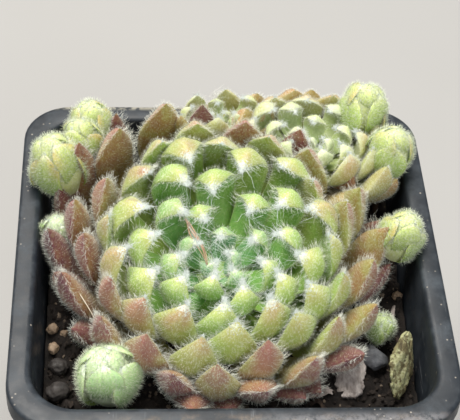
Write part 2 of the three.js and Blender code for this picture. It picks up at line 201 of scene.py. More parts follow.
class Joined:
    """Collects closed surfaces and their notes, to be made one mesh."""

    def __init__(self):
        self.points, self.faces, self.notes, self.count = [], [], {}, 0

    def add(self, points, faces, **notes):
        self.faces += [tuple(self.count + i for i in face) for face in faces]
        self.points.append(points)
        for key, values in notes.items():
            values = np.asarray(values, dtype=float)
            if values.ndim == 0:
                values = np.full(len(points), float(values))
            self.notes.setdefault(key, []).append(values)
        self.count += len(points)

    def make(self, name, material):
        notes = {key: np.concatenate(parts) for key, parts in self.notes.items()}
        return mesh_object(name, np.concatenate(self.points), self.faces, material, notes)


# ---------------------------------------------------------------- materials

class Wiring:
    """A node tree that is put together in steps."""

    def __init__(self, tree):
        self.tree = tree

    def node(self, kind, settings=None, **values):
        """Adds a node. Its inputs are given by name, with an underscore for each space."""
        node = self.tree.nodes.new(kind)
        for key, value in (settings or {}).items():
            setattr(node, key, value)
        for key, value in values.items():
            self.put(node.inputs[key.replace("_", " ")], value)
        return node

    def put(self, socket, value):
        """Gives an input what another node puts out, a colour written as #rrggbb, or a plain value."""
        if isinstance(value, bpy.types.NodeSocket):
            self.tree.links.new(value, socket)
        elif isinstance(value, str) and value.startswith("#"):
            socket.default_value = (*linear(value), 1)
        else:
            socket.default_value = value

    def sums(self, how, a, b):
        node = self.node("ShaderNodeMath", {"operation": how})
        self.put(node.inputs[0], a)
        self.put(node.inputs[1], b)
        return node.outputs[0]


class Finish(Wiring):
    """A procedural material, put together from a few named steps. Its patterns lie on Object coordinates."""

    def __init__(self, name, roughness, **shader_values):
        self.material = bpy.data.materials.new(name)
        self.material.use_nodes = True
        super().__init__(self.material.node_tree)
        self.shader = self.tree.nodes["Principled BSDF"]
        for key, value in dict(shader_values, Roughness=roughness).items():
            self.put(self.shader.inputs[key.replace("_", " ")], value)
        self.place = self.node("ShaderNodeTexCoord").outputs["Object"]

    def note(self, name):
        """A value kept on the piece's points."""
        return self.node("ShaderNodeAttribute", {"attribute_name": name}).outputs["Fac"]

    def cloud(self, size_mm, detail, rough=0.55, stretch=(1, 1, 1)):
        """Noise from 0 to 1 whose lumps are about size_mm across, and longer along an axis scaled down."""
        where = self.node("ShaderNodeMapping", Scale=stretch, Vector=self.place).outputs["Vector"]
        return self.node("ShaderNodeTexNoise", Scale=1 / (size_mm * MM), Detail=detail, Roughness=rough,
                         Vector=where).outputs["Fac"]

    def cells(self, size_mm):
        """Distance to the nearest of scattered points about size_mm apart."""
        return self.node("ShaderNodeTexVoronoi", Scale=1 / (size_mm * MM),
                         Vector=self.place).outputs["Distance"]

    def axes(self):
        """The place's X, Y and Z."""
        return self.node("ShaderNodeSeparateXYZ", Vector=self.place).outputs

    def times(self, *values):
        result = values[0]
        for value in values[1:]:
            result = self.sums("MULTIPLY", result, value)
        return result

    def ease(self, value, low, high, to_low=0.0, to_high=1.0):
        """Passes softly from to_low to to_high while the value goes from low to high."""
        return self.node("ShaderNodeMapRange", {"interpolation_type": "SMOOTHSTEP"}, Value=value,
                         From_Min=low, From_Max=high, To_Min=to_low, To_Max=to_high).outputs["Result"]

    def patches(self, size_mm, detail, low, high, to_low=0.0, to_high=1.0, rough=0.55, stretch=(1, 1, 1)):
        """Soft patches: noise that is eased between two of its values."""
        return self.ease(self.cloud(size_mm, detail, rough, stretch), low, high, to_low, to_high)

    def ramp(self, value, stops):
        """A colour read from stops of (share, colour)."""
        node = self.node("ShaderNodeValToRGB", Fac=value)
        bar = node.color_ramp
        while len(bar.elements) < len(stops):
            bar.elements.new(1.0)
        for element, (share, code) in zip(bar.elements, stops):
            element.position = share
            element.color = (*linear(code), 1)
        return node.outputs["Color"]

    def mixed(self, share, a, b):
        """Passes from colour a to colour b as the share goes from 0 to 1."""
        node = self.node("ShaderNodeMix", {"data_type": "RGBA"}, Factor=share)
        self.put(node.inputs[6], a)
        self.put(node.inputs[7], b)
        return node.outputs[2]

    def over(self, colour, laid, *shares):
        """A colour with another laid over it, as thickly as all the shares multiplied."""
        return self.mixed(self.times(*shares), colour, laid)

    def relief(self, value, depth_mm, strength):
        node = self.node("ShaderNodeBump", Distance=depth_mm * MM, Strength=strength, Height=value)
        self.put(self.shader.inputs["Normal"], node.outputs["Normal"])

    def done(self, colour, roughness=None):
        self.put(self.shader.inputs["Base Color"], colour)
        if roughness is not None:
            self.put(self.shader.inputs["Roughness"], roughness)
        return self.material


def leaf_finish(name, face_stops, back_stops, tip_stops, blush, margin, rim_share, wool_share, wool_tint,
                blush_edges=(0.95, 0.45), blush_age=(0.5, 0.75)):
    """A fleshy leaf: face, back and tip by age, painted shade toward its root, a blush on some backs, a pale
    margin and a woolly tip.
    """
    finish = Finish(name, 0.5, Subsurface_Weight=0.2, Subsurface_Scale=0.0014,
                    Subsurface_Radius=(1.0, 1.1, 0.35), Sheen_Weight=0.25, Sheen_Roughness=0.4,
                    Sheen_Tint=(0.95, 1.0, 0.85, 1))
    ease, patches = finish.ease, finish.patches
    age, reach, edge, lot, back, wool = map(finish.note, ("age", "along", "edge", "lot", "back", "wool"))
    drift = finish.sums("ADD", patches(5, 2, 0.3, 0.7, -0.05, 0.05), ease(lot, 0, 1, -0.08, 0.08))
    older = finish.sums("ADD", age, drift)
    rear = finish.mixed(ease(reach, 0.76, 0.97), finish.ramp(older, back_stops),
                        finish.ramp(older, tip_stops))
    colour = finish.mixed(back, finish.ramp(older, face_stops), rear)
    # painted shade where a leaf goes in among the others, darker toward its root: deep green when young,
    # nearly black when old
    painted_root_shade = finish.ramp(older, [(0.75, "#507c30"), (1.0, "#33211f")])
    colour = finish.over(colour, painted_root_shade, ease(reach, 0.45, 0.8, 1.0, 0.0), ease(older, 0.8, 1.0, 0.35, 0.85))
    # streaks, then velvet strands that stand out more on the back and toward the tip
    colour = finish.over(colour, margin, patches(0.8, 4, 0.4, 0.75), 0.22)
    strands = patches(0.3, 3, 0.5, 0.6, rough=0.65, stretch=(1, 1, 0.35))
    colour = finish.over(colour, "#dde3c6", strands, ease(reach, 0.4, 0.7, 0.1, 1.0),
                         ease(back, 0, 1, 0.6, 1.0), ease(older, 0.7, 1.0, 1.0, 0.3), 0.55)
    flush = finish.times(ease(older, *blush_age), ease(edge, *blush_edges), ease(lot, 0.3, 0.6),
                         ease(reach, 0.55, 0.85), back)
    colour = finish.over(colour, blush, flush, 0.7)
    colour = finish.over(colour, margin, ease(edge, 0.78, 1.0), ease(reach, 0.35, 0.6),
                         ease(older, 0.65, 0.92, 1.0, 0.0), rim_share)
    frayed = finish.sums("ADD", wool, patches(0.4, 4, 0.3, 0.7, -0.4, 0.4))
    colour = finish.over(colour, wool_tint, ease(frayed, 0.45, 0.65), wool_share)
    finish.relief(finish.cloud(0.4, 4), 0.2, 0.8)
    return finish.done(colour, patches(1.5, 3, 0.3, 0.7, 0.42, 0.62))


def hair_finish(name, code, other):
    """Plain pale hair that drifts from one colour to another."""
    finish = Finish(name, 0.6, Sheen_Weight=0.5)
    return finish.done(finish.mixed(finish.cloud(3, 2), code, other))


def pot_finish():
    """Satin black-grey plastic with dust, light scuffs and a chalky worn edge."""
    finish = Finish("dusty_plastic", 0.45, Specular_IOR_Level=0.35)
    ease, patches = finish.ease, finish.patches
    at = finish.axes()
    half = rim_width / 2
    top = ease(at["Z"], (rim_height - 0.9) * MM, (rim_height - 0.15) * MM)
    inside_reach = ease(at["Z"], (rim_height - 14) * MM, (rim_height - 1) * MM)
    colour = finish.ramp(finish.cloud(14, 4), [(0.3, "#1a1f25"), (0.7, "#262c33")])
    # a film of dust, specks and scuffs
    colour = finish.over(colour, "#59626a", patches(6, 6, 0.42, 0.75, rough=0.7), 0.35,
                         ease(top, 0, 1, 0.35, 1.0))
    colour = finish.over(colour, "#a49d92", ease(finish.cells(1.7), 0.16, 0.06),
                         patches(4, 2, 0.45, 0.6), 0.8)
    scuffs = patches(2.2, 5, 0.63, 0.72, rough=0.6, stretch=(1, 0.14, 1))
    colour = finish.over(colour, "#8b8f94", scuffs, 0.25)
    # chalk on the far edge, and on the near one brown dust with pale powder at its right
    chalk = finish.times(ease(at["Y"], (half - 1.8) * MM, (half - 0.4) * MM),
                         ease(at["Z"], (rim_height - 1.4) * MM, (rim_height - 0.4) * MM),
                         patches(2.5, 5, 0.4, 0.55, rough=0.7))
    colour = finish.over(colour, "#a9a596", chalk, 0.8)
    near_edge = finish.times(ease(at["Y"], (3.5 - half) * MM, (1.5 - half) * MM), top)
    dust = finish.times(near_edge, patches(3.2, 5, 0.45, 0.7, rough=0.7), 0.45)
    colour = finish.over(colour, "#7d6a55", dust, ease(at["X"], -34 * MM, -8 * MM, 0.15, 1.0))
    right_hand = finish.times(near_edge, ease(at["X"], -5 * MM, 18 * MM))
    colour = finish.over(colour, "#8f8d90", right_hand, patches(1.4, 5, 0.3, 0.6, rough=0.75), 0.5)
    wear = finish.sums("ADD", finish.times(finish.cloud(0.8, 4), 0.3),
                       finish.times(finish.cloud(7, 3), inside_reach))
    finish.relief(wear, 0.1, 0.35)
    return finish.done(colour, patches(3, 4, 0.3, 0.7, 0.36, 0.55))


def earth_finish(name, dark, light, grain_mm, relief_mm):
    """Rough matt grains with a few tan specks."""
    finish = Finish(name, 0.92, Specular_IOR_Level=0.3)
    colour = finish.ramp(finish.cloud(grain_mm, 6, 0.7), [(0.3, dark), (0.72, light)])
    colour = finish.over(colour, "#7a6650", finish.ease(finish.cells(grain_mm * 0.9), 0.14, 0.05), 0.5)
    finish.relief(finish.cloud(grain_mm * 0.5, 6, 0.75), relief_mm, 0.9)
    return finish.done(colour)


def bark_finish(name, dark, mid, pale, lichen=None):
    """Layered bark: long grooves, flaking pale layers and, where asked, crusts of lichen."""
    finish = Finish(name, 0.9, Specular_IOR_Level=0.25)
    grooves = finish.cloud(1.1, 6, 0.65, (1, 0.3, 1))
    colour = finish.ramp(grooves, [(0.3, dark), (0.5, mid), (0.72, pale)])
    if lichen:
        crumbs = finish.ramp(finish.cloud(0.5, 4, 0.7), [(0.3, lichen[0]), (0.7, lichen[1])])
        colour = finish.over(colour, crumbs, finish.patches(2.2, 5, 0.45, 0.54, rough=0.7), 0.9)
    finish.relief(grooves, 0.5, 1.0)
    return finish.done(colour)


def stone_finish(name, dark, light, relief_mm):
    """Cloudy stone, duller in some places than in others."""
    finish = Finish(name, 0.75)
    colour = finish.ramp(finish.cloud(1.6, 6, 0.7), [(0.3, dark), (0.7, light)])
    finish.relief(finish.cloud(0.4, 5, 0.7), relief_mm, 0.7)
    return finish.done(colour, finish.patches(1.0, 3, 0.3, 0.7, 0.55, 0.85))


# leaf colours, from the youngest leaf of a rosette at 0 to the oldest at 1
hen_face = [(0.0, "#5c9c78"), (0.2, "#6aa655"), (0.42, "#7fb046"), (0.58, "#96b24a"), (0.7, "#9fa24e"),
            (0.84, "#9e7848"), (0.93, "#905c48"), (1.0, "#744044")]
hen_back = [(0.0, "#84b487"), (0.25, "#93b964"), (0.5, "#9fb95a"), (0.66, "#a8b460"), (0.78, "#aba066"),
            (0.87, "#9a665f"), (0.95, "#7a3e50"), (1.0, "#5a2a3e")]
hen_tip = [(0.0, "#b8cca4"), (0.3, "#cbd27c"), (0.52, "#c9c676"), (0.68, "#c09a7c"), (0.85, "#a0666a"),
           (1.0, "#744052")]
second_face = [(0.0, "#adbf90"), (0.4, "#adbb7c"), (0.7, "#a9a963"), (0.9, "#a58f50")]
second_back = [(0.0, "#c0cea6"), (0.4, "#bfcc90"), (0.65, "#b7b66c"), (0.85, "#a9964f"), (0.97, "#9f8050")]
second_tip = [(0.0, "#d2dcba"), (0.5, "#cfd6a4"), (0.75, "#c4b874"), (0.92, "#b58a55")]
chick_face = [(0.0, "#b9cf6c"), (0.5, "#abc358"), (0.9, "#b88a4a")]
chick_back = [(0.0, "#bdcc7a"), (0.45, "#b0c66a"), (0.8, "#9fbd5a"), (0.95, "#9c9f50")]
shaded_back = [(0.0, "#93a860"), (0.45, "#7f9a4c"), (0.8, "#6c8a3e"), (0.95, "#6a7c3a")]
chick_tip = [(0.0, "#ccd690"), (0.5, "#c6d084"), (0.95, "#c0b86a")]
fresh_back = [(0.0, "#bcd8a0"), (0.45, "#add28a"), (0.8, "#9cc67a"), (0.95, "#8fb868")]
fresh_tip = [(0.0, "#cfe0b4"), (0.5, "#c2dca0"), (0.95, "#b4cf8c")]

finishes = {
    "hen": leaf_finish("hen_leaf", hen_face, hen_back, hen_tip, blush="#b07a68", margin="#b9c286",
                       rim_share=0.4, wool_share=0.85, wool_tint="#e2e8da"),
    "second": leaf_finish("second_leaf", second_face, second_back, second_tip, blush="#b48d68",
                          margin="#dfe2c6", rim_share=0.3, wool_share=0.35, wool_tint="#dfe6cf"),
    "chick": leaf_finish("chick_leaf", chick_face, chick_back, chick_tip, blush="#c9a562", margin="#d5dea0",
                         rim_share=0.1, wool_share=0.5, wool_tint="#e6ecd2", blush_edges=(0.0, 1.1),
                         blush_age=(0.1, 0.4)),
    "fresh_chick": leaf_finish("fresh_chick_leaf", chick_face, fresh_back, fresh_tip, blush="#a8cf90",
                               margin="#d2e4bc", rim_share=0.1, wool_share=0.7, wool_tint="#e4efdc",
                               blush_edges=(0.35, 0.9), blush_age=(0.1, 0.4)),
    "shaded_chick": leaf_finish("shaded_chick_leaf", chick_face, shaded_back, shaded_back, blush="#8a9a50",
                                margin="#a9ba78", rim_share=0.1, wool_share=0.3, wool_tint="#d5dcbc",
                                blush_edges=(0.35, 0.9), blush_age=(0.1, 0.4)),
    "hair": hair_finish("white_hair", "#eef0e4", "#e9ece0"),
    "chick_hair": hair_finish("chick_hair", "#dfe7cf", "#d6e0bf"),
    "wool": hair_finish("white_wool", "#dbe4df", "#c4cfca"),
    "pot": pot_finish(),
    "soil": earth_finish("black_mix", "#0d0b0a", "#2e2824", 2.2, 0.5),
    "crumb": earth_finish("mix_crumb", "#141110", "#3a322c", 1.2, 0.3),
    "grit": earth_finish("tan_grit", "#574b42", "#8b7d6c", 1.0, 0.15),
    "bark": bark_finish("grey_bark", "#6b625e", "#aaa19b", "#d8d0ca"),
    "lichened_bark": bark_finish("lichened_bark", "#3b3428", "#6d6548", "#8f8a66", ("#8b8d58", "#c6c6a2")),
    "dark_bark": bark_finish("dark_bark", "#231d18", "#4d4038", "#6b5d50"),
    "slate": stone_finish("slate", "#3a3c40", "#6c6e72", 0.2),
    "pebble": stone_finish("dark_pebble", "#1c1918", "#3d3835", 0.15),
    "pumice": stone_finish("tan_grain", "#76624f", "#ab957d", 0.2),
    "stalk": bark_finish("runner_skin", "#2a2019", "#433428", "#5a4736"),
    "wisp": bark_finish("dried_wisp", "#8a6e5c", "#b8977e", "#d4bca6"),
    "fibre": bark_finish("pale_fibre", "#cdbfa8", "#e2d8c4", "#efe8da"),
}


# ---------------------------------------------------------------- pot and potting mix

def square_lathe(profile, arc_steps, side_steps):
    """Rings of a rounded square, one for each (half width, height) of the profile."""
    quarter = arc_steps + side_steps
    steps = 4 * quarter
    step = np.arange(steps)
    k = step % quarter
    turn = math.radians(90) * np.minimum(k / arc_steps, 1)
    slide = np.maximum(k - arc_steps, 0) / side_steps
    rings = []
    for half_width, height in profile:
        radius = half_width * corner_share
        centre = half_width - radius
        x = centre * (1 - 2 * slide) + radius * np.cos(turn)
        y = centre + radius * np.sin(turn)
        whole = math.radians(90) * (step // quarter)
        rings.append(np.stack([x * np.cos(whole) - y * np.sin(whole),
                               x * np.sin(whole) + y * np.cos(whole),
                               np.full(steps, height)], axis=1))
    return np.concatenate(rings), steps


def inside_at(height):
    """Half the pot's width inside its wall."""
    return mouth_width / 2 - wall_taper * (rim_height - height)


def outside_at(height):
    """Half the pot's width outside its wall."""
    return inside_at(height) + wall_thickness


def rounded(corner, before, after, radius):
    """Four points of an arc that rounds a corner of a profile."""
    corner, before, after = map(np.array, (corner, before, after))
    start = corner + (before - corner) / np.linalg.norm(before - corner) * radius
    end = corner + (after - corner) / np.linalg.norm(after - corner) * radius
    shares = np.linspace(0, 1, 4)[:, None]
    arc = (1 - shares) ** 2 * start + 2 * shares * (1 - shares) * corner + shares ** 2 * end
    return [tuple(p) for p in arc]


def make_pot():
    """One moulded shell with a lip round its rim, drains in its floor and a notch under each side."""
    under = rim_height - flange_thickness
    half = rim_width / 2
    # half width, height and rounding of each corner, from the middle underneath round to the floor's middle
    corners = [
        (0.01, 0, 0), (outside_at(0), 0, foot_chamfer), (outside_at(under), under, 0.4),
        (half - lip_thickness, under, 0.3), (half - lip_thickness, rim_height - lip_height, 0.25),
        (half, rim_height - lip_height, 0.35), (half, rim_height, 0.7),
        (inside_at(rim_height), rim_height, 1.2), (inside_at(floor_thickness), floor_thickness, 2.2),
        (0.01, floor_thickness, 0),
    ]
    profile = []
    for i, (half_width, height, radius) in enumerate(corners):
        if radius == 0:
            profile.append((half_width, height))
        else:
            profile += rounded((half_width, height), corners[i - 1][:2], corners[i + 1][:2], radius)
    points, steps = square_lathe(profile, 10, 6)
    pot = mesh_object("pot_shell", points, tube_faces(len(profile), steps), finishes["pot"])
    width, depth, height = notch_size
    cutters = []
    for side in range(4):
        turn = Matrix.Rotation(math.radians(90) * side, 4, "Z")
        bpy.ops.mesh.primitive_cylinder_add(vertices=32, radius=drain_radius * MM, depth=8 * MM)
        hole = bpy.context.object
        hole.matrix_world = turn @ Matrix.Translation(Vector((drain_place, drain_place, 0)) * MM)
        bpy.ops.mesh.primitive_cube_add(size=1)
        notch = bpy.context.object
        reach = Matrix.Translation(Vector((0, outside_at(0) - 1, 0)) * MM)
        notch.matrix_world = turn @ reach @ Matrix.Diagonal((width * MM, depth * MM, height * MM, 1))
        cutters += [hole, notch]
    for cutter in cutters:
        cut = pot.modifiers.new("drain", "BOOLEAN")
        cut.operation = "DIFFERENCE"
        cut.solver = "EXACT"
        cut.object = cutter
    settle(pot)
    for cutter in cutters:
        bpy.data.objects.remove(cutter)
    pot.data.set_sharp_from_angle(angle=math.radians(40))
    return keep(pot, "pot_plastic", "pot")


def settle(piece):
    """Applies a piece's modifiers to its mesh."""
    evaluated = piece.evaluated_get(bpy.context.evaluated_depsgraph_get())
    mesh = bpy.data.meshes.new_from_object(evaluated)
    piece.modifiers.clear()
    piece.data = mesh
    return piece


def soil_top(x, y):
    """Height of the mix's lumpy top."""
    share = max(abs(x), abs(y)) / inside_at(rim_height - soil_edge_depth)
    waves = [(0.9, 0.4, 0), (0.5, -1.1, 1.7), (1.6, 1.3, 0.6)]
    lumps = sum(math.sin(a * x + b * y + phase) for a, b, phase in waves)
    return rim_height - soil_edge_depth + soil_mound * (1 - share ** 2) + soil_lump * lumps / 1.5


def rough_top(x, y):
    """The same top with the grain of loose bark."""
    coarse = noise.fractal((x * 0.4, y * 0.4, 3.1), 0.7, 2.0, 5)
    fine = noise.fractal((x * 1.4, y * 1.4, 7.7), 0.7, 2.0, 4)
    return soil_top(x, y) + 0.9 * coarse + 0.35 * fine


def make_soil():
    """The mix that fills the pot. Crumbs lie where its top shows, not by the wall or under the hen."""
    edge = rim_height - soil_edge_depth
    foot = floor_thickness + gap
    shares = 1 - np.linspace(0, 1, 64) ** 1.3   # rings lie closer near the wall, where the top shows
    shares[-1] = 0.0003
    profile = [(0.01, foot), (inside_at(foot) - 2 - gap, foot), (inside_at(foot + 2) - gap, foot + 2)]
    profile += [(share * (inside_at(edge - 1.5) - gap), edge) for share in shares]
    points, steps = square_lathe(profile, 8, 36)
    top = np.zeros(len(points))
    top[3 * steps:] = 1
    for i in np.flatnonzero(top):
        points[i, 2] = rough_top(points[i, 0], points[i, 1])
    near_wall = np.maximum(np.abs(points[:, 0]), np.abs(points[:, 1])) > inside_at(edge) - 1.5
    under_hen = np.hypot(points[:, 0] + 1.7, points[:, 1] + 2) < 24
    scatter = top * ~near_wall * ~under_hen
    faces = tube_faces(len(profile), steps)
    return mesh_object("potting_mix_bed", points, faces, finishes["soil"], {"scatter": scatter})


# ---------------------------------------------------------------- scattering, as node trees

class Tree(Wiring):
    """A geometry node tree that sets copies of a shape on a surface, turned into a plain mesh."""

    def __init__(self, name, *measures):
        super().__init__(bpy.data.node_groups.new(name, "GeometryNodeTree"))
        kinds = {"Surface": "Geometry", "Shape": "Object", "Cover": "String", "Per Square Metre": "Float",
                 "Seed": "Int", "Finish": "Material", **{measure: "Float" for measure in measures}}
        self.sockets = {key: self.socket(key, kind, "INPUT") for key, kind in kinds.items()}
        self.socket("Result", "Geometry", "OUTPUT")
        self.inputs = self.node("NodeGroupInput").outputs
        self.result = self.node("NodeGroupOutput").inputs["Result"]

    def socket(self, name, kind, side):
        return self.tree.interface.new_socket(name=name, in_out=side, socket_type="NodeSocket" + kind)

    def vector_sums(self, how, a, b):
        node = self.node("ShaderNodeVectorMath", {"operation": how})
        self.put(node.inputs[0], a)
        key = "Scale" if how == "SCALE" else 1
        self.put(node.inputs[key], b)
        return node.outputs[0]

    def chance(self, low, high, number, kind="FLOAT"):
        """A fixed draw at each spot, told from the tree's other draws by its number."""
        node = self.node("FunctionNodeRandomValue", {"data_type": kind})
        lowest, highest, drawn = {"FLOAT": (2, 3, 1), "FLOAT_VECTOR": (0, 1, 0)}[kind]
        self.put(node.inputs[lowest], low)
        self.put(node.inputs[highest], high)
        self.put(node.inputs["Seed"], self.sums("ADD", self.inputs["Seed"], number))
        return node.outputs[drawn]

    def noted(self, name, kind="FLOAT"):
        """What the surface's points keep under a name."""
        node = self.node("GeometryNodeInputNamedAttribute", {"data_type": kind}, Name=name)
        return node.outputs["Attribute"]

    def spots(self):
        """Points strewn over the surface, as thickly as its cover and the given number allow."""
        density = self.sums("MULTIPLY", self.noted(self.inputs["Cover"]), self.inputs["Per Square Metre"])
        return self.node("GeometryNodeDistributePointsOnFaces", {"distribute_method": "RANDOM"},
                         Mesh=self.inputs["Surface"], Density=density, Seed=self.inputs["Seed"])

    def set_out(self, spots, turn, size):
        """Sets the shape on every spot and ends the tree with a plain painted mesh."""
        source = self.node("GeometryNodeObjectInfo", Object=self.inputs["Shape"])
        copies = self.node("GeometryNodeInstanceOnPoints", Points=spots.outputs["Points"],
                           Instance=source.outputs["Geometry"], Rotation=turn, Scale=size)
        real = self.node("GeometryNodeRealizeInstances", Geometry=copies.outputs[0])
        painted = self.node("GeometryNodeSetMaterial", Geometry=real.outputs[0],
                            Material=self.inputs["Finish"])
        self.put(self.result, painted.outputs[0])

    def grow(self, surface, name, shape, cover, per_mm2, seed, finish, **measures):
        """Runs the tree on a surface and returns what it grew as a plain mesh of its own."""
        given = {"Shape": shape, "Cover": cover, "Per Square Metre": per_mm2 * fewer / MM ** 2, "Seed": seed,
                 "Finish": finishes[finish], **measures}
        bed = add_object(name + "_bed", surface.data)
        modifier = bed.modifiers.new(name, "NODES")
        modifier.node_group = self.tree
        for key, value in given.items():
            modifier[self.sockets[key].identifier] = value
        evaluated = bed.evaluated_get(bpy.context.evaluated_depsgraph_get())
        mesh = bpy.data.meshes.new_from_object(evaluated)
        mesh.name = name
        bpy.data.objects.remove(bed)
        return add_object(name, mesh)


def hair_tree():
    """Hairs that stand on a surface, lean along its flow and differ in length, lean and turn."""
    tree = Tree("hairs", "Length", "Thickness", "Lean", "Ruffle")
    given = tree.inputs
    spots = tree.spots()
    leaning = tree.vector_sums("SCALE", tree.noted("flow", "FLOAT_VECTOR"), given["Lean"])
    stray = tree.chance((-1, -1, -1), (1, 1, 1), 0, "FLOAT_VECTOR")
    astray = tree.vector_sums("SCALE", stray, given["Ruffle"])
    heading = tree.vector_sums("ADD", tree.vector_sums("ADD", spots.outputs["Normal"], leaning), astray)
    aim = tree.node("FunctionNodeAlignRotationToVector", {"axis": "Z"}, Vector=heading)
    spin = tree.node("FunctionNodeAxisAngleToRotation", Axis=(0, 0, 1),
                     Angle=tree.chance(0.0, 2 * math.pi, 1))
    turn = tree.node("FunctionNodeRotateRotation", {"rotation_space": "LOCAL"},
                     Rotation=aim.outputs[0], Rotate_By=spin.outputs[0])
    size = tree.node("ShaderNodeCombineXYZ", X=given["Thickness"], Y=given["Thickness"],
                     Z=tree.sums("MULTIPLY", given["Length"], tree.chance(0.5, 1.2, 2)))
    tree.set_out(spots, turn.outputs[0], size.outputs[0])
    return tree


def crumb_tree():
    """Crumbs of a few shapes, strewn over a surface and half sunk in it."""
    tree = Tree("crumbs", "Smallest", "Largest")
    tilt = tree.chance((0, 0, 0), (6.28, 6.28, 6.28), 0, "FLOAT_VECTOR")
    even = tree.chance(tree.inputs["Smallest"], tree.inputs["Largest"], 1)
    uneven = tree.chance((0.6, 0.6, 0.5), (1.3, 1.1, 0.9), 2, "FLOAT_VECTOR")
    turn = tree.node("FunctionNodeEulerToRotation", Euler=tilt)
    tree.set_out(tree.spots(), turn.outputs[0], tree.vector_sums("SCALE", uneven, even))
    return tree


def template(name, points, faces):
    """A small shape, one unit long, for the node trees to place. It is removed when they are done."""
    shape = add_object(name, smooth_mesh(name, points, faces))
    shape.hide_render = True
    return shape


def spike(name):
    """A three-sided hair of unit height and unit thickness."""
    points = [(0.5 * math.cos(turn), 0.5 * math.sin(turn), 0) for turn in around(3)] + [(0, 0, 1)]
    return template(name, points, [(0, 1, 3), (1, 2, 3), (2, 0, 3), (2, 1, 0)])


def ball(subdivisions):
    """Points and faces of a ball one unit across."""
    bpy.ops.mesh.primitive_ico_sphere_add(subdivisions=subdivisions, radius=0.5)
    whole = bpy.context.object
    points = [vertex.co.copy() for vertex in whole.data.vertices]
    faces = [tuple(face.vertices) for face in whole.data.polygons]
    bpy.data.objects.remove(whole)
    return points, faces


def lump(name, seed):
    """A rough crumb about one unit across."""
    points, faces = ball(1)
    shape = template(name, [p * (1 + sway(seed, i, 0.28)) for i, p in enumerate(points)], faces)
    shape.data.polygons.foreach_set("use_smooth", [False] * len(faces))
    return shape


# ---------------------------------------------------------------- leaves and rosettes

# A habit gives a leaf's measures by the share of the rosette's reach at which its tip stands, which grows
# with its age. Lengths are shares of the reach too, and rises are degrees above level, leading outwards.

open_habit = {
    "tip_height": [(0, 0.03), (0.28, 0.18), (0.56, 0.29), (0.78, 0.28), (0.95, 0.22), (1.03, 0.18),
                   (1.06, 0.13), (1.1, -0.02)],
    "tip_rise": [(0, 130), (0.15, 145), (0.3, 150), (0.45, 142), (0.55, 130), (0.63, 112), (0.7, 101),
                 (0.82, 93), (0.92, 86), (1.0, 76), (1.06, 70), (1.1, 66)],
    "blade_rise": [(0, 75), (0.3, 80), (0.6, 86), (0.75, 84), (0.85, 79), (0.92, 73), (1.0, 65), (1.06, 60),
                   (1.1, 56)],
    "root_reach": [(0, 0.01), (1.1, 0.16)],
    "root_height": [(0, -0.14), (0.3, -0.2), (1.1, -0.28)],
    "root_rise": [(0, 80), (0.3, 35), (0.6, 12), (1.1, 0)],
    "width": [(0, 0.13), (0.14, 0.17), (0.3, 0.24), (0.43, 0.28), (0.55, 0.3), (0.65, 0.3), (0.72, 0.295),
              (0.88, 0.28), (1.1, 0.26)],
    "thickness": [(0, 0.05), (0.28, 0.065), (0.56, 0.085), (0.85, 0.1), (1.0, 0.095), (1.1, 0.09)],
    "side_spread": [(0.55, 0), (0.68, 18), (0.85, 12), (1.0, 0)],
    "back_hold": [(0.6, 0), (0.8, 14), (1.1, 20)],
    "front_drop": [(0.84, 0), (1.0, 18), (1.1, 22)],
    "front_seeking": [(0.15, 5), (0.3, 20), (0.55, 26), (0.68, 0)],
}

closed_habit = {
    "tip_height": [(0, 1.02), (0.3, 0.98), (0.5, 0.88), (0.7, 0.68), (0.82, 0.45)],
    "tip_rise": [(0, 165), (0.4, 140), (0.6, 116), (0.82, 92)],
    "root_reach": [(0, 0.1), (0.4, 0.25), (1, 0.4)],
    "root_height": [(0, -0.5), (0.4, -0.8), (1, -0.9)],
    "root_rise": [(0, 60), (0.4, 30), (1, 10)],
    "width": [(0, 0.8), (0.3, 1.25), (0.6, 1.55), (0.82, 1.65)],
    "thickness": [(0, 0.24), (0.4, 0.2), (0.82, 0.17)],
    "handle": 0.45,
}

# a heart is the plain body that a rosette's leaves hide, as (radius, height) from its top to its foot
open_heart = [(0, -0.1), (0.2, -0.13), (0.4, -0.18), (0.5, -0.22), (0.48, -0.28), (0.14, -0.33), (0, -0.33)]
closed_heart = [(0, 1.06), (0.3, 1.0), (0.6, 0.73), (0.86, 0.22), (0.9, -0.15), (0.62, -0.7), (0, -0.95)]


def frame_of(centre, lean):
    """Where a rosette stands: its centre from the pot's axis at the rim, with its axis leaning sideways."""
    axis = Vector((lean[0], lean[1], 1)).normalized()
    turn = Vector((0, 0, 1)).rotation_difference(axis).to_matrix().to_4x4()
    return np.array(Matrix.Translation((centre[0], centre[1], rim_height + centre[2])) @ turn)


def rosette_of(centre, lean, start, **facts):
    """A rosette's facts, with those that most share. Its leaves add to its coats as they are made."""
    shared = dict(squash=1, tall=1, plump=((0, 1.0), (1, 1.0)), longer=(0, 0), greener=0, crowded=None)
    return dict(shared, frame=frame_of(centre, lean), start=math.radians(start), coats=[], **facts)


def open_rosette(centre, lean, start, reach, leaves, low_leaves, foot, stem_radius, **facts):
    """An open rosette. Its low leaves are the oldest, spread out under the others and a little shorter."""
    return rosette_of(
        centre, lean, start, habit=open_habit, heart=open_heart, reach=reach, turn=-1, sides=18,
        leaves=leaves + low_leaves, upright_leaves=leaves,
        tip_reach=lambda i: 1.1 * (min(i + 0.6, leaves) / leaves) ** 0.7,
        bluntness=[(0.2, 1.05), (0.8, 1.35)], greener=0.12, down_from=(0.5, 0.68),
        stem=(-0.28, foot, 12, stem_radius, stem_radius), **facts)


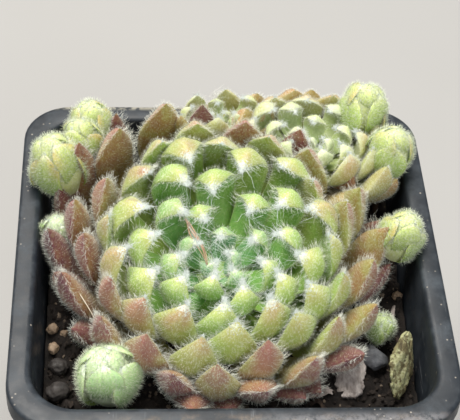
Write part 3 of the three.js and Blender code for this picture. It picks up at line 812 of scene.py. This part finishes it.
def chick_rosette(centre, radius, tall, lean, foot, order):
    """A closed chick: a ball of a few broad leaves on a thin runner."""
    return rosette_of(
        centre, lean, 50 * order, habit=closed_habit, heart=closed_heart, reach=radius, turn=1, sides=14,
        leaves=chick_leaves, upright_leaves=chick_leaves, seed=50 + order, tall=tall,
        tip_reach=lambda i: 0.02 + 0.8 * (i + 0.5) / chick_leaves,
        bluntness=[(0, 2.1)], wool_ends=(0.5, 1.2), wool_from=(0.87, 0.97), down_from=(0.15, 0.35),
        stem=(-0.7, foot, 3, 0.3 * radius, 0.6))


# shares along a leaf, from its root at 0 to its tip at 1, closer where it bends and narrows
leaf_rows = np.array([0, 0.13, 0.26, 0.37, 0.46, 0.54, 0.61, 0.67, 0.73, 0.79, 0.84, 0.88, 0.915, 0.945,
                      0.97, 0.988, 1])
fine_rows = np.linspace(0, 1, 81)


def unit(angles):
    """Steps one unit long, at angles above level."""
    return np.stack([np.cos(angles), np.sin(angles)], axis=-1)


def jointed_midline(root, tip, root_rise, blade_rise, tip_rise):
    """A leaf that runs out from the stem, stands up as a blade and bends in again at its tip."""
    u = fine_rows
    angles = root_rise + (blade_rise - root_rise) * smooth(u, 0.12, 0.5)
    angles = angles + (tip_rise - blade_rise) * smooth(u, bend_from, bend_to)
    steps = (unit(angles)[1:] + unit(angles)[:-1]) / 2 * np.diff(u)[:, None]
    length = 1.08 * np.linalg.norm(tip - root)
    below = np.concatenate([[[0, 0]], np.cumsum(steps, axis=0)])
    path = tip - length * (below[-1] - below)
    return path + (1 - smooth(u, 0, 0.62))[:, None] * (root - path[0])


def rounded_midline(root, tip, root_rise, tip_rise, handle):
    """A leaf that bends evenly from its root to its tip."""
    reach = handle * np.linalg.norm(tip - root)
    out, back = root + reach * unit(root_rise), tip - reach * unit(tip_rise)
    u = fine_rows[:, None]
    return (1 - u) ** 3 * root + 3 * u * (1 - u) ** 2 * out + 3 * u ** 2 * (1 - u) * back + u ** 3 * tip


def midline_of(rosette, i):
    """A leaf's midline in the plane of its azimuth, with its other measures. Each strays a little."""
    habit, reach, seed = rosette["habit"], rosette["reach"], rosette["seed"]
    share = rosette["tip_reach"](i)
    azimuth = rosette["start"] + rosette["turn"] * i * golden_angle + math.radians(sway(seed + 3, i, 4))
    tip_reach = share * (1 + sway(seed + 1, i, 0.03))
    tip_reach *= 1 if i < rosette["upright_leaves"] else low_leaf_reach
    toward, longer = rosette["longer"]
    on_that_side = max(math.cos(azimuth - math.radians(toward)), 0) ** 9
    tip_reach *= 1 + longer * on_that_side * float(smooth(share, 0.6, 0.95))
    tip_height = along(habit["tip_height"], share) + sway(seed + 2, i, 0.012)
    tip = reach * np.array([tip_reach, tip_height])
    root = reach * np.array([along(habit["root_reach"], share), along(habit["root_height"], share)])
    root_rise, tip_rise = (math.radians(along(habit[key], share)) for key in ("root_rise", "tip_rise"))
    if "blade_rise" in habit:
        # older leaves lean out at the sides, are held up at the back and drop in front,
        # and young ones turn their tips to the front
        spread = math.radians(along(habit["side_spread"], share)) * math.cos(azimuth) ** 2
        held = math.radians(along(habit["back_hold"], share)) * max(math.sin(azimuth), 0)
        held -= math.radians(along(habit["front_drop"], share)) * max(-math.sin(azimuth), 0)
        seeking = math.radians(along(habit["front_seeking"], share)) * math.sin(azimuth)
        blade_rise = math.radians(along(habit["blade_rise"], share)) + held - spread
        path = jointed_midline(root, tip, root_rise, blade_rise, tip_rise + held - spread + seeking)
    else:
        path = rounded_midline(root, tip, root_rise, tip_rise, habit["handle"])
    plump = along(rosette["plump"], share)
    return dict(
        path=path, share=share, azimuth=azimuth,
        roll=math.radians(sway(seed + 4, i, 9)), skew=sway(seed + 7, i, 0.28),
        half_width=reach * along(habit["width"], share) * plump * (1 + sway(seed + 5, i, 0.06)) / 2,
        thickness=reach * along(habit["thickness"], share) * plump)


def leaf_outline(u, bluntness):
    """Width and thickness along a leaf, in shares: broadest beyond two thirds, then drawn to a point."""
    past = np.clip((u - broadest) / (1 - broadest), 0, 1)
    body = 0.3 + 0.7 * np.sin(math.pi / 2 * np.clip(u / broadest, 0, 1))
    width = np.where(u < broadest, body, 1 - past ** bluntness)
    depth = np.where(u < broadest, body ** 0.7, 1 - 0.9 * past ** 1.9)
    return np.maximum(width, 0.012), np.maximum(depth * smooth(-u, -1.0, -0.955), 0.03)


def placed(rosette, local):
    """A rosette's own points, as places in the pot."""
    return local @ rosette["frame"][:3, :3].T + rosette["frame"][:3, 3]


def leaf_surface(rosette, leaf, lot):
    """A leaf's points, ring by ring from root to tip, with the values its finish and its hairs read."""
    mid = read_at(leaf_rows, fine_rows, leaf["path"])
    ahead = normal(read_at(leaf_rows, fine_rows, np.gradient(leaf["path"], axis=0)))
    width, depth = leaf_outline(leaf_rows, along(rosette["bluntness"], leaf["share"]))
    sides = rosette["sides"]
    cos, sin = np.cos(around(sides)), np.sin(around(sides))
    ridge = np.exp(-(cos / keel_width) ** 2) * (sin < 0)
    keel = 1 + keel_rise * ridge * smooth(leaf_rows, 0.5, 0.9)[:, None]
    face_bulge = 0.22 + 0.4 * float(smooth(leaf["share"], 0.6, 1.0))
    bulge = np.where(sin > 0, face_bulge, 0.8) * keel
    lift = leaf["thickness"] * depth[:, None] * bulge * sin * np.abs(sin) ** 0.45
    across = leaf["half_width"] * (width[:, None] * cos + leaf["skew"] * smooth(leaf_rows, 0.6, 1)[:, None])
    beside = across * math.cos(leaf["roll"]) - lift * math.sin(leaf["roll"])
    above = across * math.sin(leaf["roll"]) + lift * math.cos(leaf["roll"])
    radius = mid[:, :1] - above * ahead[:, 1:]
    rise = mid[:, 1:] + above * ahead[:, :1]
    out_x, out_y = math.cos(leaf["azimuth"]), math.sin(leaf["azimuth"])
    squash, tall = rosette["squash"], rosette["tall"]
    local = np.stack([radius * out_x - beside * out_y, (radius * out_y + beside * out_x) * squash,
                      rise * tall], axis=2)
    flow = np.stack([ahead[:, 0] * out_x, ahead[:, 0] * out_y * squash, ahead[:, 1] * tall], axis=1)
    flow = np.repeat(flow, sides, axis=0) @ rosette["frame"][:3, :3].T
    points = placed(rosette, local.reshape(-1, 3))
    reach = np.repeat(leaf_rows, sides)
    edge = np.tile(np.abs(cos), len(leaf_rows))
    back = np.tile(smooth(-sin, -0.25, 0.25), len(leaf_rows))
    young = 1 - smooth(leaf["share"], *rosette["wool_ends"])
    # leaves at the right and the back look younger than they are
    greener = rosette["greener"] * max(out_x, 0.6 * out_y, 0) * float(smooth(leaf["share"], 0.5, 0.75))
    notes = dict(age=leaf["share"] - greener, along=reach, edge=edge, back=back, lot=lot, flow=flow,
                 wool=smooth(reach, *rosette["wool_from"]) * young,
                 down=smooth(reach, *rosette["down_from"]) * (0.6 + 0.4 * back))
    rosette["coats"].append(dict(rings=points.reshape(len(leaf_rows), sides, 3), share=leaf["share"],
                                 young=young, ahead=flow.reshape(len(leaf_rows), sides, 3)[:, 0]))
    return points, notes


def free_of_pot(points):
    """Keeps a plant inside the pot's walls, or just above its rim where it reaches over."""
    points = points.copy()
    limit = inside_at(points[:, 2]) - gap
    for axis in (0, 1):
        out = (np.abs(points[:, axis]) > limit) & (points[:, 2] < rim_height + gap)
        over = out & (points[:, 2] > rim_height - 2)
        points[over, 2] = rim_height + gap
        under = out & ~over
        points[under, axis] = np.sign(points[under, axis]) * limit[under]
    return points


def heart_surface(rosette):
    """The heart's points, faces and notes. A chick's shows at its top, which is leaf green and downy."""
    sides = 24
    rings = np.array([(max(r, 0.002), h) for r, h in rosette["heart"]])[::-1] * rosette["reach"]
    turn = around(sides)
    local = np.stack([rings[:, :1] * np.cos(turn), rings[:, :1] * np.sin(turn) * rosette["squash"],
                      np.repeat(rings[:, 1:], sides, axis=1) * rosette["tall"]], axis=2)
    points = free_of_pot(placed(rosette, local.reshape(-1, 3)))
    closed = float(rosette["heart"] is closed_heart)
    top = closed * np.repeat(np.arange(len(rings)) > len(rings) - 3, sides)
    notes = dict(age=0.4 - 0.3 * closed, along=0.6 + 0.3 * closed, edge=0, back=0.5 + 0.5 * closed, lot=0.5,
                 wool=0.5 * top, down=top, flow=np.zeros((len(points), 3)))
    return points, tube_faces(len(rings), sides), notes


def leaves_of(rosette):
    """Each leaf's number and measures, less those that would be crowded out."""
    leaves = [(i, midline_of(rosette, i)) for i in range(rosette["leaves"])]
    if rosette["crowded"] is None:
        return leaves
    return [(i, leaf) for i, leaf in leaves if not rosette["crowded"](tip_of(rosette, leaf))]


def tip_of(rosette, leaf):
    """Where a leaf's tip stands in the pot."""
    out, up = leaf["path"][-1]
    side = out * math.sin(leaf["azimuth"]) * rosette["squash"]
    return placed(rosette, np.array([out * math.cos(leaf["azimuth"]), side, up * rosette["tall"]]))


def make_rosette(name, rosette, finish):
    """All of a rosette's leaves and its heart, as one mesh of closed surfaces."""
    whole = Joined()
    faces = tube_faces(len(leaf_rows), rosette["sides"])
    for i, leaf in leaves_of(rosette):
        points, notes = leaf_surface(rosette, leaf, draw(rosette["seed"] + 6, i))
        whole.add(free_of_pot(points), faces, **notes)
    points, faces, notes = heart_surface(rosette)
    whole.add(points, faces, **notes)
    return whole.make(name, finishes[finish])


def make_stalk(name, rosette, slot):
    """The brown stem or runner that a rosette stands on, from under its leaves down into the mix."""
    height, foot, depth, neck, radius = rosette["stem"]
    matrix = rosette["frame"]
    top = matrix[:3, 3] + matrix[:3, 2] * height * rosette["reach"] * rosette["tall"]
    low = np.array([foot[0], foot[1], soil_top(*foot) - depth])
    shares = np.linspace(0, 1, 12)[:, None]
    radii = neck + (radius - neck) * shares[:, 0] ** 0.4
    stalk = mesh_object(name, *sleeve(top * (1 - shares) + low * shares, radii, 12), finishes["stalk"])
    return keep(stalk, slot)


# each chick: its centre from the pot's axis at the rim, its radius, how many times taller than wide it is,
# how its axis leans, and where its runner stands in the mix
chick_places = {
    "chick_front_left": ((-25.3, -29.4, -5.4), 6.2, 1.1, (-0.2, 0.0), (-22, -27)),
    "chick_left": ((-36.6, 21, 3.6), 5.8, 1.4, (-0.25, 0.05), (-34, 17)),
    "chick_left_low": ((-36.4, 7.4, -3.4), 3.3, 1.4, (-0.12, 0.1), (-35.5, 6)),
    "chick_back_left": ((-29.6, 34.6, 3.8), 4.5, 1.2, (-0.15, 0.2), (-29, 33)),
    "chick_back_left_small": ((-31.5, 28.2, 5.4), 4, 1.2, (-0.3, 0.1), (-31, 27)),
    "chick_back_right": ((31.8, 36, 6.8), 5.5, 1.2, (0.2, 0.2), (31, 34)),
    "chick_right_back": ((36.8, 25, 4.6), 5.1, 1.2, (0.3, 0.1), (35.5, 23)),
    "chick_right": ((36.8, 2, 1.6), 4.7, 1.3, (0.3, 0.1), (35.5, 2)),
    "chick_front_right": ((31.6, -15.0, -8.2), 3.1, 1.2, (0.25, -0.15), (30, -13.5)),
}

chick_finishes = {
    "chick_front_left": "fresh_chick", "chick_left_low": "fresh_chick", "chick_front_right": "shaded_chick",
}


def near_chick(tip, name, radii):
    """Whether a tip stands within so many radii of a chick's centre."""
    centre, radius = chick_places[name][:2]
    return np.linalg.norm(tip - (np.array(centre) + (0, 0, rim_height))) < radii * radius


def crowds_a_chick(tip):
    """No leaf of the hen ends in a chick, and the two chicks in front stand clear of her."""
    clear_radii = {"chick_front_left": 1.5, "chick_front_right": 3.5}
    return any(near_chick(tip, name, clear_radii.get(name, 1.0)) for name in chick_places)


def crowds_the_hen(tip):
    """No leaf of a smaller rosette grows where its tip would stand among the hen's leaves or in a chick."""
    back = np.linalg.inv(hen["frame"])
    x, y, z = back[:3, :3] @ tip + back[:3, 3]
    in_hen = math.hypot(x, y) < 0.93 * hen["reach"] and z < 0.3 * hen["reach"]
    return in_hen or any(near_chick(tip, name, 0.75) for name in chick_places)


# plump widens and thickens leaves by their share, and longer stretches the old ones toward one side
hen = open_rosette(
    centre=(-1.7, -2.5, 0), lean=(0.04, -0.16), start=-4, reach=35, leaves=77, low_leaves=18, seed=11,
    foot=(-1.5, -1), stem_radius=3.6, longer=(131, 0.17),
    wool_ends=(0.42, 0.82), wool_from=(0.87, 0.97), crowded=crowds_a_chick)
second = open_rosette(
    centre=(18.5, 28, 4), lean=(0.06, 0.02), start=40, reach=18.5, leaves=42, low_leaves=11, seed=23,
    foot=(19, 28), stem_radius=2.6, squash=0.85, plump=((0.4, 1.25), (0.85, 1.9)), longer=(-33, 0.22),
    wool_ends=(0.55, 0.9), wool_from=(0.78, 0.95), crowded=crowds_the_hen)
offset = open_rosette(
    centre=(-1, 36, 5), lean=(-0.05, 0.05), start=10, reach=12.5, leaves=15, low_leaves=3, seed=37,
    foot=(-1.5, 35), stem_radius=1.8, squash=0.55, plump=((0.4, 1.3), (0.9, 1.8)),
    wool_ends=(0.55, 0.95), wool_from=(0.78, 0.95), crowded=crowds_the_hen)


# ---------------------------------------------------------------- hairs

straight = spike("straight_hair")
hairs = hair_tree()


def hair_mesh(name, paths, thickness, finish):
    """Many fine three-sided hairs as one mesh. Each row of points in paths is one hair, drawn to a point."""
    count, rings = len(paths), paths.shape[1] - 1
    outward = spokes(normal(np.gradient(paths, axis=1))[:, :-1], 3)
    radii = thickness / 2 * (1 - 0.5 * np.arange(rings) / rings)
    sleeves = (paths[:, :-1, None] + outward * radii[:, None, None]).reshape(count, -1, 3)
    points = np.concatenate([sleeves, paths[:, -1:]], axis=1).reshape(-1, 3)
    last, end = 3 * (rings - 1), 3 * rings
    point = [(last, last + 1, end), (last + 1, last + 2, end), (last + 2, last, end)]
    one = ring_faces(rings, 3) + [(2, 1, 0)] + point
    starts = range(0, (end + 1) * count, end + 1)
    faces = [tuple(start + i for i in face) for start in starts for face in one]
    piece = mesh_object(name, points, faces, finishes[finish])
    piece.visible_shadow = finish != "wool"   # wool shades nothing, so that a tuft stays white all through
    return piece


def hair_paths(roots, headings, pulls, lengths, curl, rings, rng):
    """Each hair sets out along its heading, is drawn round to its pull and wavers on its way."""
    u = np.linspace(0, 1, rings)[:, None]
    roots, headings, pulls = roots[:, None], normal(headings)[:, None], normal(pulls)[:, None]
    path = roots + lengths[:, None, None] * (headings * (u - u * u / 2) + pulls * u * u / 2)
    for waves in (1.0, 1.7):
        phase = rng.uniform(0, 2 * math.pi, (len(lengths), 1, 1))
        side = rng.normal(size=(len(lengths), 1, 3))
        wave = np.sin(2 * math.pi * waves * u + phase) - np.sin(phase)
        path = path + curl * lengths[:, None, None] * u * wave * side
    return path


def margin_hairs(coats, spacing, length, rng):
    """A comb of hairs along both margins of each leaf."""
    roots, headings, pulls = [], [], []
    shown = comb_from + (comb_to - comb_from) * (np.arange(1000) + 0.5) / 1000
    for coat in coats:
        rings, ahead = coat["rings"], coat["ahead"]
        middle = rings.mean(axis=1)
        for side in (0, rings.shape[1] // 2):
            line = read_at(shown, leaf_rows, rings[:, side])
            travelled = np.concatenate([[0], np.cumsum(np.linalg.norm(np.diff(line, axis=0), axis=1))])
            many = max(int(travelled[-1] / spacing * fewer), 2)
            spread = (np.arange(many) + rng.uniform(0, 1, many)) / many
            at = np.interp(spread * travelled[-1], travelled, shown)
            root, centre, along_leaf = (
                read_at(at, leaf_rows, rows) for rows in (rings[:, side], middle, ahead))
            outward = normal(root - centre + 1e-6)
            roots.append(root - outward * rng.uniform(0, 0.45, (many, 1)) + rng.normal(0, 0.12, root.shape))
            headings.append(outward + 0.3 * along_leaf + rng.normal(0, 0.32, root.shape))
            pulls.append(outward + 0.9 * along_leaf + rng.normal(0, 0.4, root.shape))
    roots, headings, pulls = map(np.concatenate, (roots, headings, pulls))
    lengths = length * rng.uniform(0.5, 1.2, len(roots))
    return hair_paths(roots, headings, pulls, lengths, 0.1, 4, rng)


def tip_tufts(coats, most, length, trail, rng):
    """White wool at the leaf tips, thickest on young leaves, with a few longer threads that trail in."""
    roots, headings, pulls, lengths = [], [], [], []
    for coat in coats:
        rings, ahead = coat["rings"], coat["ahead"][-1]
        many = int((fewest_in_tuft + most * coat["young"]) * (fewer + 0.1))
        ring = len(leaf_rows) - 1 - (5 * rng.uniform(0, 1, many) ** 1.5).astype(int)
        root = rings[ring, rng.integers(0, rings.shape[1], many)]
        middle = rings[-5].mean(axis=0)
        roots.append(root)
        headings.append(normal(root - middle) + 0.5 * ahead + rng.normal(0, 0.5, root.shape))
        pulls.append(ahead + np.array([0, 0, -0.4]) * coat["young"] + rng.normal(0, 0.7, root.shape))
        stretch = np.where(rng.uniform(0, 1, many) < trailing_share, trail, 1.0) * coat["young"] ** 0.3
        lengths.append(length * rng.uniform(0.4, 1.1, many) * np.maximum(stretch, 0.4))
    roots, headings, pulls, lengths = map(np.concatenate, (roots, headings, pulls, lengths))
    return hair_paths(roots, headings, pulls, lengths, 0.36, 4, rng)


def cobweb(coats, oldest, farthest, each, rng):
    """Threads drawn from tip to tip across the heart of a rosette, each between two that stand close."""
    tips = [coat["rings"][-1].mean(axis=0) for coat in coats if coat["share"] < oldest]
    starts, ends = [], []
    for i, tip in enumerate(tips):
        for other in tips[:i]:
            if np.linalg.norm(tip - other) < farthest:
                starts += [tip] * each
                ends += [other] * each
    starts, ends = np.array(starts), np.array(ends)
    starts = starts + rng.normal(0, 0.5, starts.shape)
    ends = ends + rng.normal(0, 0.5, ends.shape)
    u = np.linspace(0, 1, 7)[:, None]
    sag = rng.normal(0, 0.35, (len(starts), 1, 3)) + np.array([0, 0, -0.5])
    path = starts[:, None] * (1 - u) + ends[:, None] * u + 4 * u * (1 - u) * sag
    return path + 0.35 * np.sin(math.pi * 3 * u) * rng.normal(0, 0.5, (len(starts), 1, 3))


def grow_coat(rosette, piece, name, slot, down, margins, tufts, seed, lean=0.8, thickness=0.055,
              hair="hair"):
    """Short down all over a rosette's leaves, longer hairs along their margins and wool at their tips."""
    rng = np.random.default_rng(seed)
    per_mm2, length = down
    short = hairs.grow(piece, name + "_down", straight, "down", per_mm2, seed, hair, Length=length * MM,
                       Thickness=thickness * MM, Lean=lean, Ruffle=0.4)
    keep(short, slot)
    keep(hair_mesh(name + "_cilia", margin_hairs(rosette["coats"], *margins, rng), 0.06, hair), slot)
    keep(hair_mesh(name + "_wool", tip_tufts(rosette["coats"], *tufts, rng), 0.1, "wool"), slot)


# ---------------------------------------------------------------- bark and stones on the mix

def turned(name, turn_degrees):
    """A way to turn a piece's points and set them at the middle of its solid."""
    low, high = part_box(name)
    middle = (np.array(low) + np.array(high)) / 2 / MM
    x, y, z = (math.radians(a) for a in turn_degrees)
    matrix = Matrix.Rotation(x, 3, "X") @ Matrix.Rotation(y, 3, "Y") @ Matrix.Rotation(z, 3, "Z")
    return lambda points: np.asarray(points) @ np.array(matrix).T + middle


def make_chip(name, size, turn, seed, finish, slot, taper=0.45):
    """A flake of bark: a slab with a torn outline, split edges and grooves along its length."""
    width, length, thickness = size
    rows, columns = 36, 16
    points, faces = [], []
    for side in (1, -1):
        for r in range(rows):
            y = 2 * r / (rows - 1) - 1
            torn = 1 - taper * abs(y) ** 1.7 + 0.2 * noise.fractal((seed, y * 4.1, 0.2), 0.6, 2.0, 4)
            lean = 0.12 * noise.noise((seed + 5, y * 1.7, 0))
            for c in range(columns):
                x = 2 * c / (columns - 1) - 1
                grain = noise.fractal((x * 3.2 + seed, y * 1.3, side * 2.0), 0.6, 2.0, 5)
                body = (1 - 0.6 * abs(x) ** 3) * (1 - 0.5 * abs(y) ** 4)
                frayed = 0.05 * noise.noise((x * 5, seed, side))
                points.append((width / 2 * (x * torn + lean), length / 2 * (y + frayed * abs(y) ** 3),
                               side * thickness / 2 * body + 0.22 * thickness * grain))
    face = rows * columns
    for r in range(rows - 1):
        for c in range(columns - 1):
            a = r * columns + c
            quad = (a, a + 1, a + columns + 1, a + columns)
            faces.append(quad)
            faces.append(tuple(face + i for i in quad[::-1]))
    rim = list(range(columns))
    rim += [r * columns + columns - 1 for r in range(1, rows)]
    rim += [(rows - 1) * columns + c for c in range(columns - 2, -1, -1)]
    rim += [r * columns for r in range(rows - 2, 0, -1)]
    for a, b in zip(rim, rim[1:] + rim[:1]):
        faces.append((a, face + a, face + b, b))
    piece = mesh_object(name + "_flake", turned(name, turn)(points), faces, finishes[finish])
    return keep(piece, slot, name)


def make_stone(name, size, turn, seed, finish, slot, roughness=0.16, splits=0):
    """A worn stone, or one split along a few flat faces."""
    round_points, faces = ball(4)
    points = []
    for p in round_points:
        swell = 1 + roughness * noise.fractal((p * 2.6 + Vector((seed, 0, 0))), 0.8, 2.0, 5)
        for split in range(splits):
            facing = Vector([sway(seed + split, k, 1) for k in range(3)]).normalized()
            swell = min(swell, 0.36 / max(p.dot(facing), 0.05))
        points.append([p[k] * swell * size[k] for k in range(3)])
    piece = mesh_object(name + "_lump", turned(name, turn)(points), faces, finishes[finish])
    if splits:
        piece.data.set_sharp_from_angle(angle=math.radians(25))
    return keep(piece, slot, name)


def make_curl(name, start, end, half_width, arch, seed, finish, slot):
    """A thin curled shred of bark that lies on the mix from start to end, in plan."""
    sides = 12
    u = np.linspace(0, 1, 14)
    start, end = np.array(start), np.array(end)
    plan = start + np.outer(u, end - start)
    side = normal(np.array([start[1] - end[1], end[0] - start[0]]))
    plan = plan + np.outer(0.5 * np.sin(2.2 * math.pi * u + seed), side)
    ground = np.array([soil_top(x, y) for x, y in plan])
    turn = around(sides)
    points = []
    for k, share in enumerate(u):
        half = half_width * (0.45 + 0.55 * math.sin(math.pi * share)) * (1 + sway(seed, k, 0.3))
        across = half * np.cos(turn)
        above = 0.16 * np.sin(turn) + 0.5 * across ** 2 / half_width
        points.append(np.stack([plan[k, 0] + across * side[0], plan[k, 1] + across * side[1],
                                ground[k] + above + arch * math.sin(math.pi * share)], axis=1))
    curl = mesh_object(name, np.concatenate(points), tube_faces(len(u), sides), finishes[finish])
    return keep(curl, slot)


def nearest_point(piece, target):
    """The point of a piece nearest to a place, in millimetres."""
    places = np.empty(3 * len(piece.data.vertices))
    piece.data.vertices.foreach_get("co", places)
    places = places.reshape(-1, 3) / MM
    return places[np.argmin(np.linalg.norm(places - target, axis=1))]


# ---------------------------------------------------------------- things caught on the leaves

def make_dried_shred(leaves):
    """Three thin dried strands, caught together in the hen's heart."""
    upper = nearest_point(leaves, (-9.6, 3.6, rim_height + 5))
    lower = nearest_point(leaves, (-5.6, -6.4, rim_height + 4.5))
    u = np.linspace(0, 1, 12)[:, None]
    shreds = Joined()
    for bow, thickness in ((0.3, 0.22), (0.9, 0.17), (-0.5, 0.14)):
        strand = upper * (1 - u) + lower * u + np.sin(math.pi * u) * np.array([bow, 0.2, 0.7])
        strand = strand + 0.25 * np.sin(7 * u + bow * 9) * np.array([1, 0.3, 0])
        shreds.add(*sleeve(strand, thickness * (1 - 0.6 * u[:, 0] ** 2), 8))
    return keep(shreds.make("dried_shred", finishes["wisp"]), "bark")


def make_pale_fibre(leaves):
    """A pale fibre that touches low leaves of the hen at three places and bows up between its ends."""
    touched = [nearest_point(leaves, place) for place in
               ((-34, -8.6, rim_height + 1), (-31.2, -13.6, rim_height), (-27.8, -17.6, rim_height - 2))]
    u = np.linspace(0, 1, 24)
    path = read_at(u, (0, 0.5, 1), touched)
    path[:, 2] += 0.8 * np.sin(math.pi * u)
    fibre = mesh_object("pale_fibre", *sleeve(path, np.full(len(u), 0.09), 6), finishes["fibre"])
    return keep(fibre, "hen_leaves")


def make_stray_hairs(leaves):
    """A few long hairs that stand up from the offset at the back."""
    rng = np.random.default_rng(12)
    count = 14
    stand = nearest_point(leaves, (-2.6, 38, rim_height + 9))
    roots = stand + rng.normal(0, 0.5, (count, 3)) * (1, 1, 0.2)
    upward = np.array([0, 0.2, 1]) + rng.normal(0, 0.5, (count, 3))
    pulls = upward + rng.normal(0, 0.6, (count, 3))
    paths = hair_paths(roots, upward, pulls, rng.uniform(2.5, 4.5, count), 0.2, 7, rng)
    return keep(hair_mesh("stray_hairs", paths, 0.06, "hair"), "second_leaves")


# ---------------------------------------------------------------- the whole

def plant(name, node, rosette, finish, slot, **coat):
    """A rosette's leaves, the stem or runner that it stands on, and its coat of hairs."""
    leaves = keep(make_rosette(name + "_leaves", rosette, finish), slot, node)
    make_stalk(name + "_stalk", rosette, slot)
    grow_coat(rosette, leaves, name, slot, **coat)
    return leaves


make_pot()
bed = make_soil()
crumbs = crumb_tree()
crumb_shape, grit_shape = lump("crumb_shape", 3), lump("grit_shape", 8)
strewn = crumbs.grow(bed, "mix_crumbs", crumb_shape, "scatter", 0.3, 4, "crumb",
                     Smallest=0.5 * MM, Largest=2.1 * MM)
gritty = crumbs.grow(bed, "mix_grit", grit_shape, "scatter", 0.05, 9, "grit",
                     Smallest=0.4 * MM, Largest=1.5 * MM)
keep(bed, "potting_mix", "potting_mix")
keep(strewn, "potting_mix")
keep(gritty, "pumice")

hen_leaves = plant("hen", "hen_rosette", hen, "hen", "hen_leaves", down=(2.9, 1.15), margins=(0.31, 2.2),
                   tufts=(215, 1.0, 3.8), seed=100, thickness=0.064)
webs = cobweb(hen["coats"], 0.5, 8, 5, np.random.default_rng(7))
keep(hair_mesh("hen_cobweb", webs, 0.04, "wool"), "hen_leaves")
plant("second", "second_rosette", second, "second", "second_leaves", down=(6, 0.7), margins=(0.25, 1.2),
      tufts=(45, 1.3, 1.6), seed=200)
offset_leaves = plant("offset", "offset_rosette", offset, "second", "second_leaves", down=(6, 0.7),
                      margins=(0.25, 1.2), tufts=(45, 1.2, 1.6), seed=300)
for order, (name, facts) in enumerate(chick_places.items()):
    plant(name, name, chick_rosette(*facts, order), chick_finishes.get(name, "chick"), "chick_leaves",
          down=(6, 1.1), margins=(0.3, 1.1), tufts=(10, 0.9, 1.2), seed=400 + 30 * order, lean=0.35,
          thickness=0.09, hair="chick_hair")

make_chip("bark_chip", (6.4, 10, 1.7), (8, -6, -8), 1.3, "bark", "bark")
make_chip("bark_chip_lichened", (7.6, 14, 1.7), (40, 44, -18), 2.9, "lichened_bark", "lichened_bark", 0.8)
make_chip("bark_chip_small", (2.2, 7, 1), (4, 10, -68), 4.1, "dark_bark", "bark")
make_chip("bark_splinter", (1.2, 9, 1), (0, 0, -18), 6.4, "bark", "bark")
make_stone("slate_stone", (5.4, 6.6, 5.4), (0, 0, 10), 1.7, "slate", "slate", 0.1, 7)
make_stone("pebble_front", (5, 4.2, 3.2), (0, 0, 30), 3.3, "pebble", "pebble")
make_stone("pebble_back", (4.2, 3.6, 3), (0, 0, -20), 5.2, "pebble", "pebble")
grain_sizes = [(2.4, 2.2, 2.2), (1.9, 1.7, 1.7), (2.6, 2.3, 2.1), (2, 2.3, 1.9)]
for number, size in enumerate(grain_sizes, 1):
    make_stone(f"grain_{number}", size, (0, 0, 25 * number), 7.0 + number, "pumice", "pumice", 0.22)

make_curl("bark_curl", (15, -28.4), (20.6, -29.6), 1.1, 0.9, 2, "bark", "bark")
make_curl("bark_shred", (15.6, -31.4), (19.2, -32.2), 0.8, 0.5, 5, "dark_bark", "bark")
make_curl("dry_twig", (34.6, -17.6), (36.8, -13.4), 0.4, 0.2, 8, "dark_bark", "bark")
make_dried_shred(hen_leaves)
make_pale_fibre(hen_leaves)
make_stray_hairs(offset_leaves)

for shape in (straight, crumb_shape, grit_shape):
    bpy.data.objects.remove(shape)


# ---------------------------------------------------------------- floor, light and camera

def add_light(name, place, watts, tint="#ffffff"):
    """A square lamp of half a metre, turned to the plant."""
    light = bpy.data.lights.new(name, "AREA")
    light.energy = watts
    light.size = 0.5
    light.color = linear(tint)
    lamp = add_object(name, light)
    lamp.location = place
    aim = Vector((0, 0, rim_height)) * MM
    lamp.rotation_euler = (aim - Vector(place)).to_track_quat("-Z", "Y").to_euler()


def make_stage():
    """A pale floor in a soft room, with one lamp overhead at the back and a weak one in front."""
    half = 3000
    points = [(-half, -half, 0), (half, -half, 0), (half, half, 0), (-half, half, 0)]
    finish = Finish("pale_floor", 0.8)
    grey = finish.done(finish.mixed(finish.cloud(90, 2), "#a4a3a1", "#aaa9a7"))
    mesh_object("floor", points, [(0, 1, 2, 3)], grey)
    world = bpy.data.worlds.new("soft_room")
    world.use_nodes = True
    world.node_tree.nodes["Background"].inputs["Color"].default_value = (0.92, 0.96, 1.0, 1)
    world.node_tree.nodes["Background"].inputs["Strength"].default_value = 0.44
    bpy.context.scene.world = world
    add_light("overhead", (-0.12, 0.22, 0.75), 8.8, "#fffaf2")
    add_light("front_fill", (0.25, -0.7, 0.6), 2.8)
    bpy.context.scene.view_settings.view_transform = "Standard"


def make_camera():
    """The eye looks down on the pot from the front and a little from the left, tilted about its own axis."""
    azimuth, elevation, roll = math.radians(-5.80), math.radians(46.47), math.radians(4.38)
    distance = 0.31083
    target = Vector((0.78, 11.75, rim_height)) * MM
    back = Vector((math.sin(azimuth) * math.cos(elevation), -math.cos(azimuth) * math.cos(elevation),
                   math.sin(elevation)))
    right = Vector((0, 0, 1)).cross(back).normalized()
    up = back.cross(right)
    rolled_right = right * math.cos(roll) + up * math.sin(roll)
    rolled_up = up * math.cos(roll) - right * math.sin(roll)
    eye = bpy.data.cameras.new("eye")
    eye.lens = 111.4
    eye.sensor_width = 36
    eye.clip_start = 0.01
    camera = add_object("eye", eye)
    turn = Matrix((rolled_right, rolled_up, back)).transposed().to_4x4()
    camera.matrix_world = Matrix.Translation(target + back * distance) @ turn
    bpy.context.scene.camera = camera


make_stage()
make_camera()
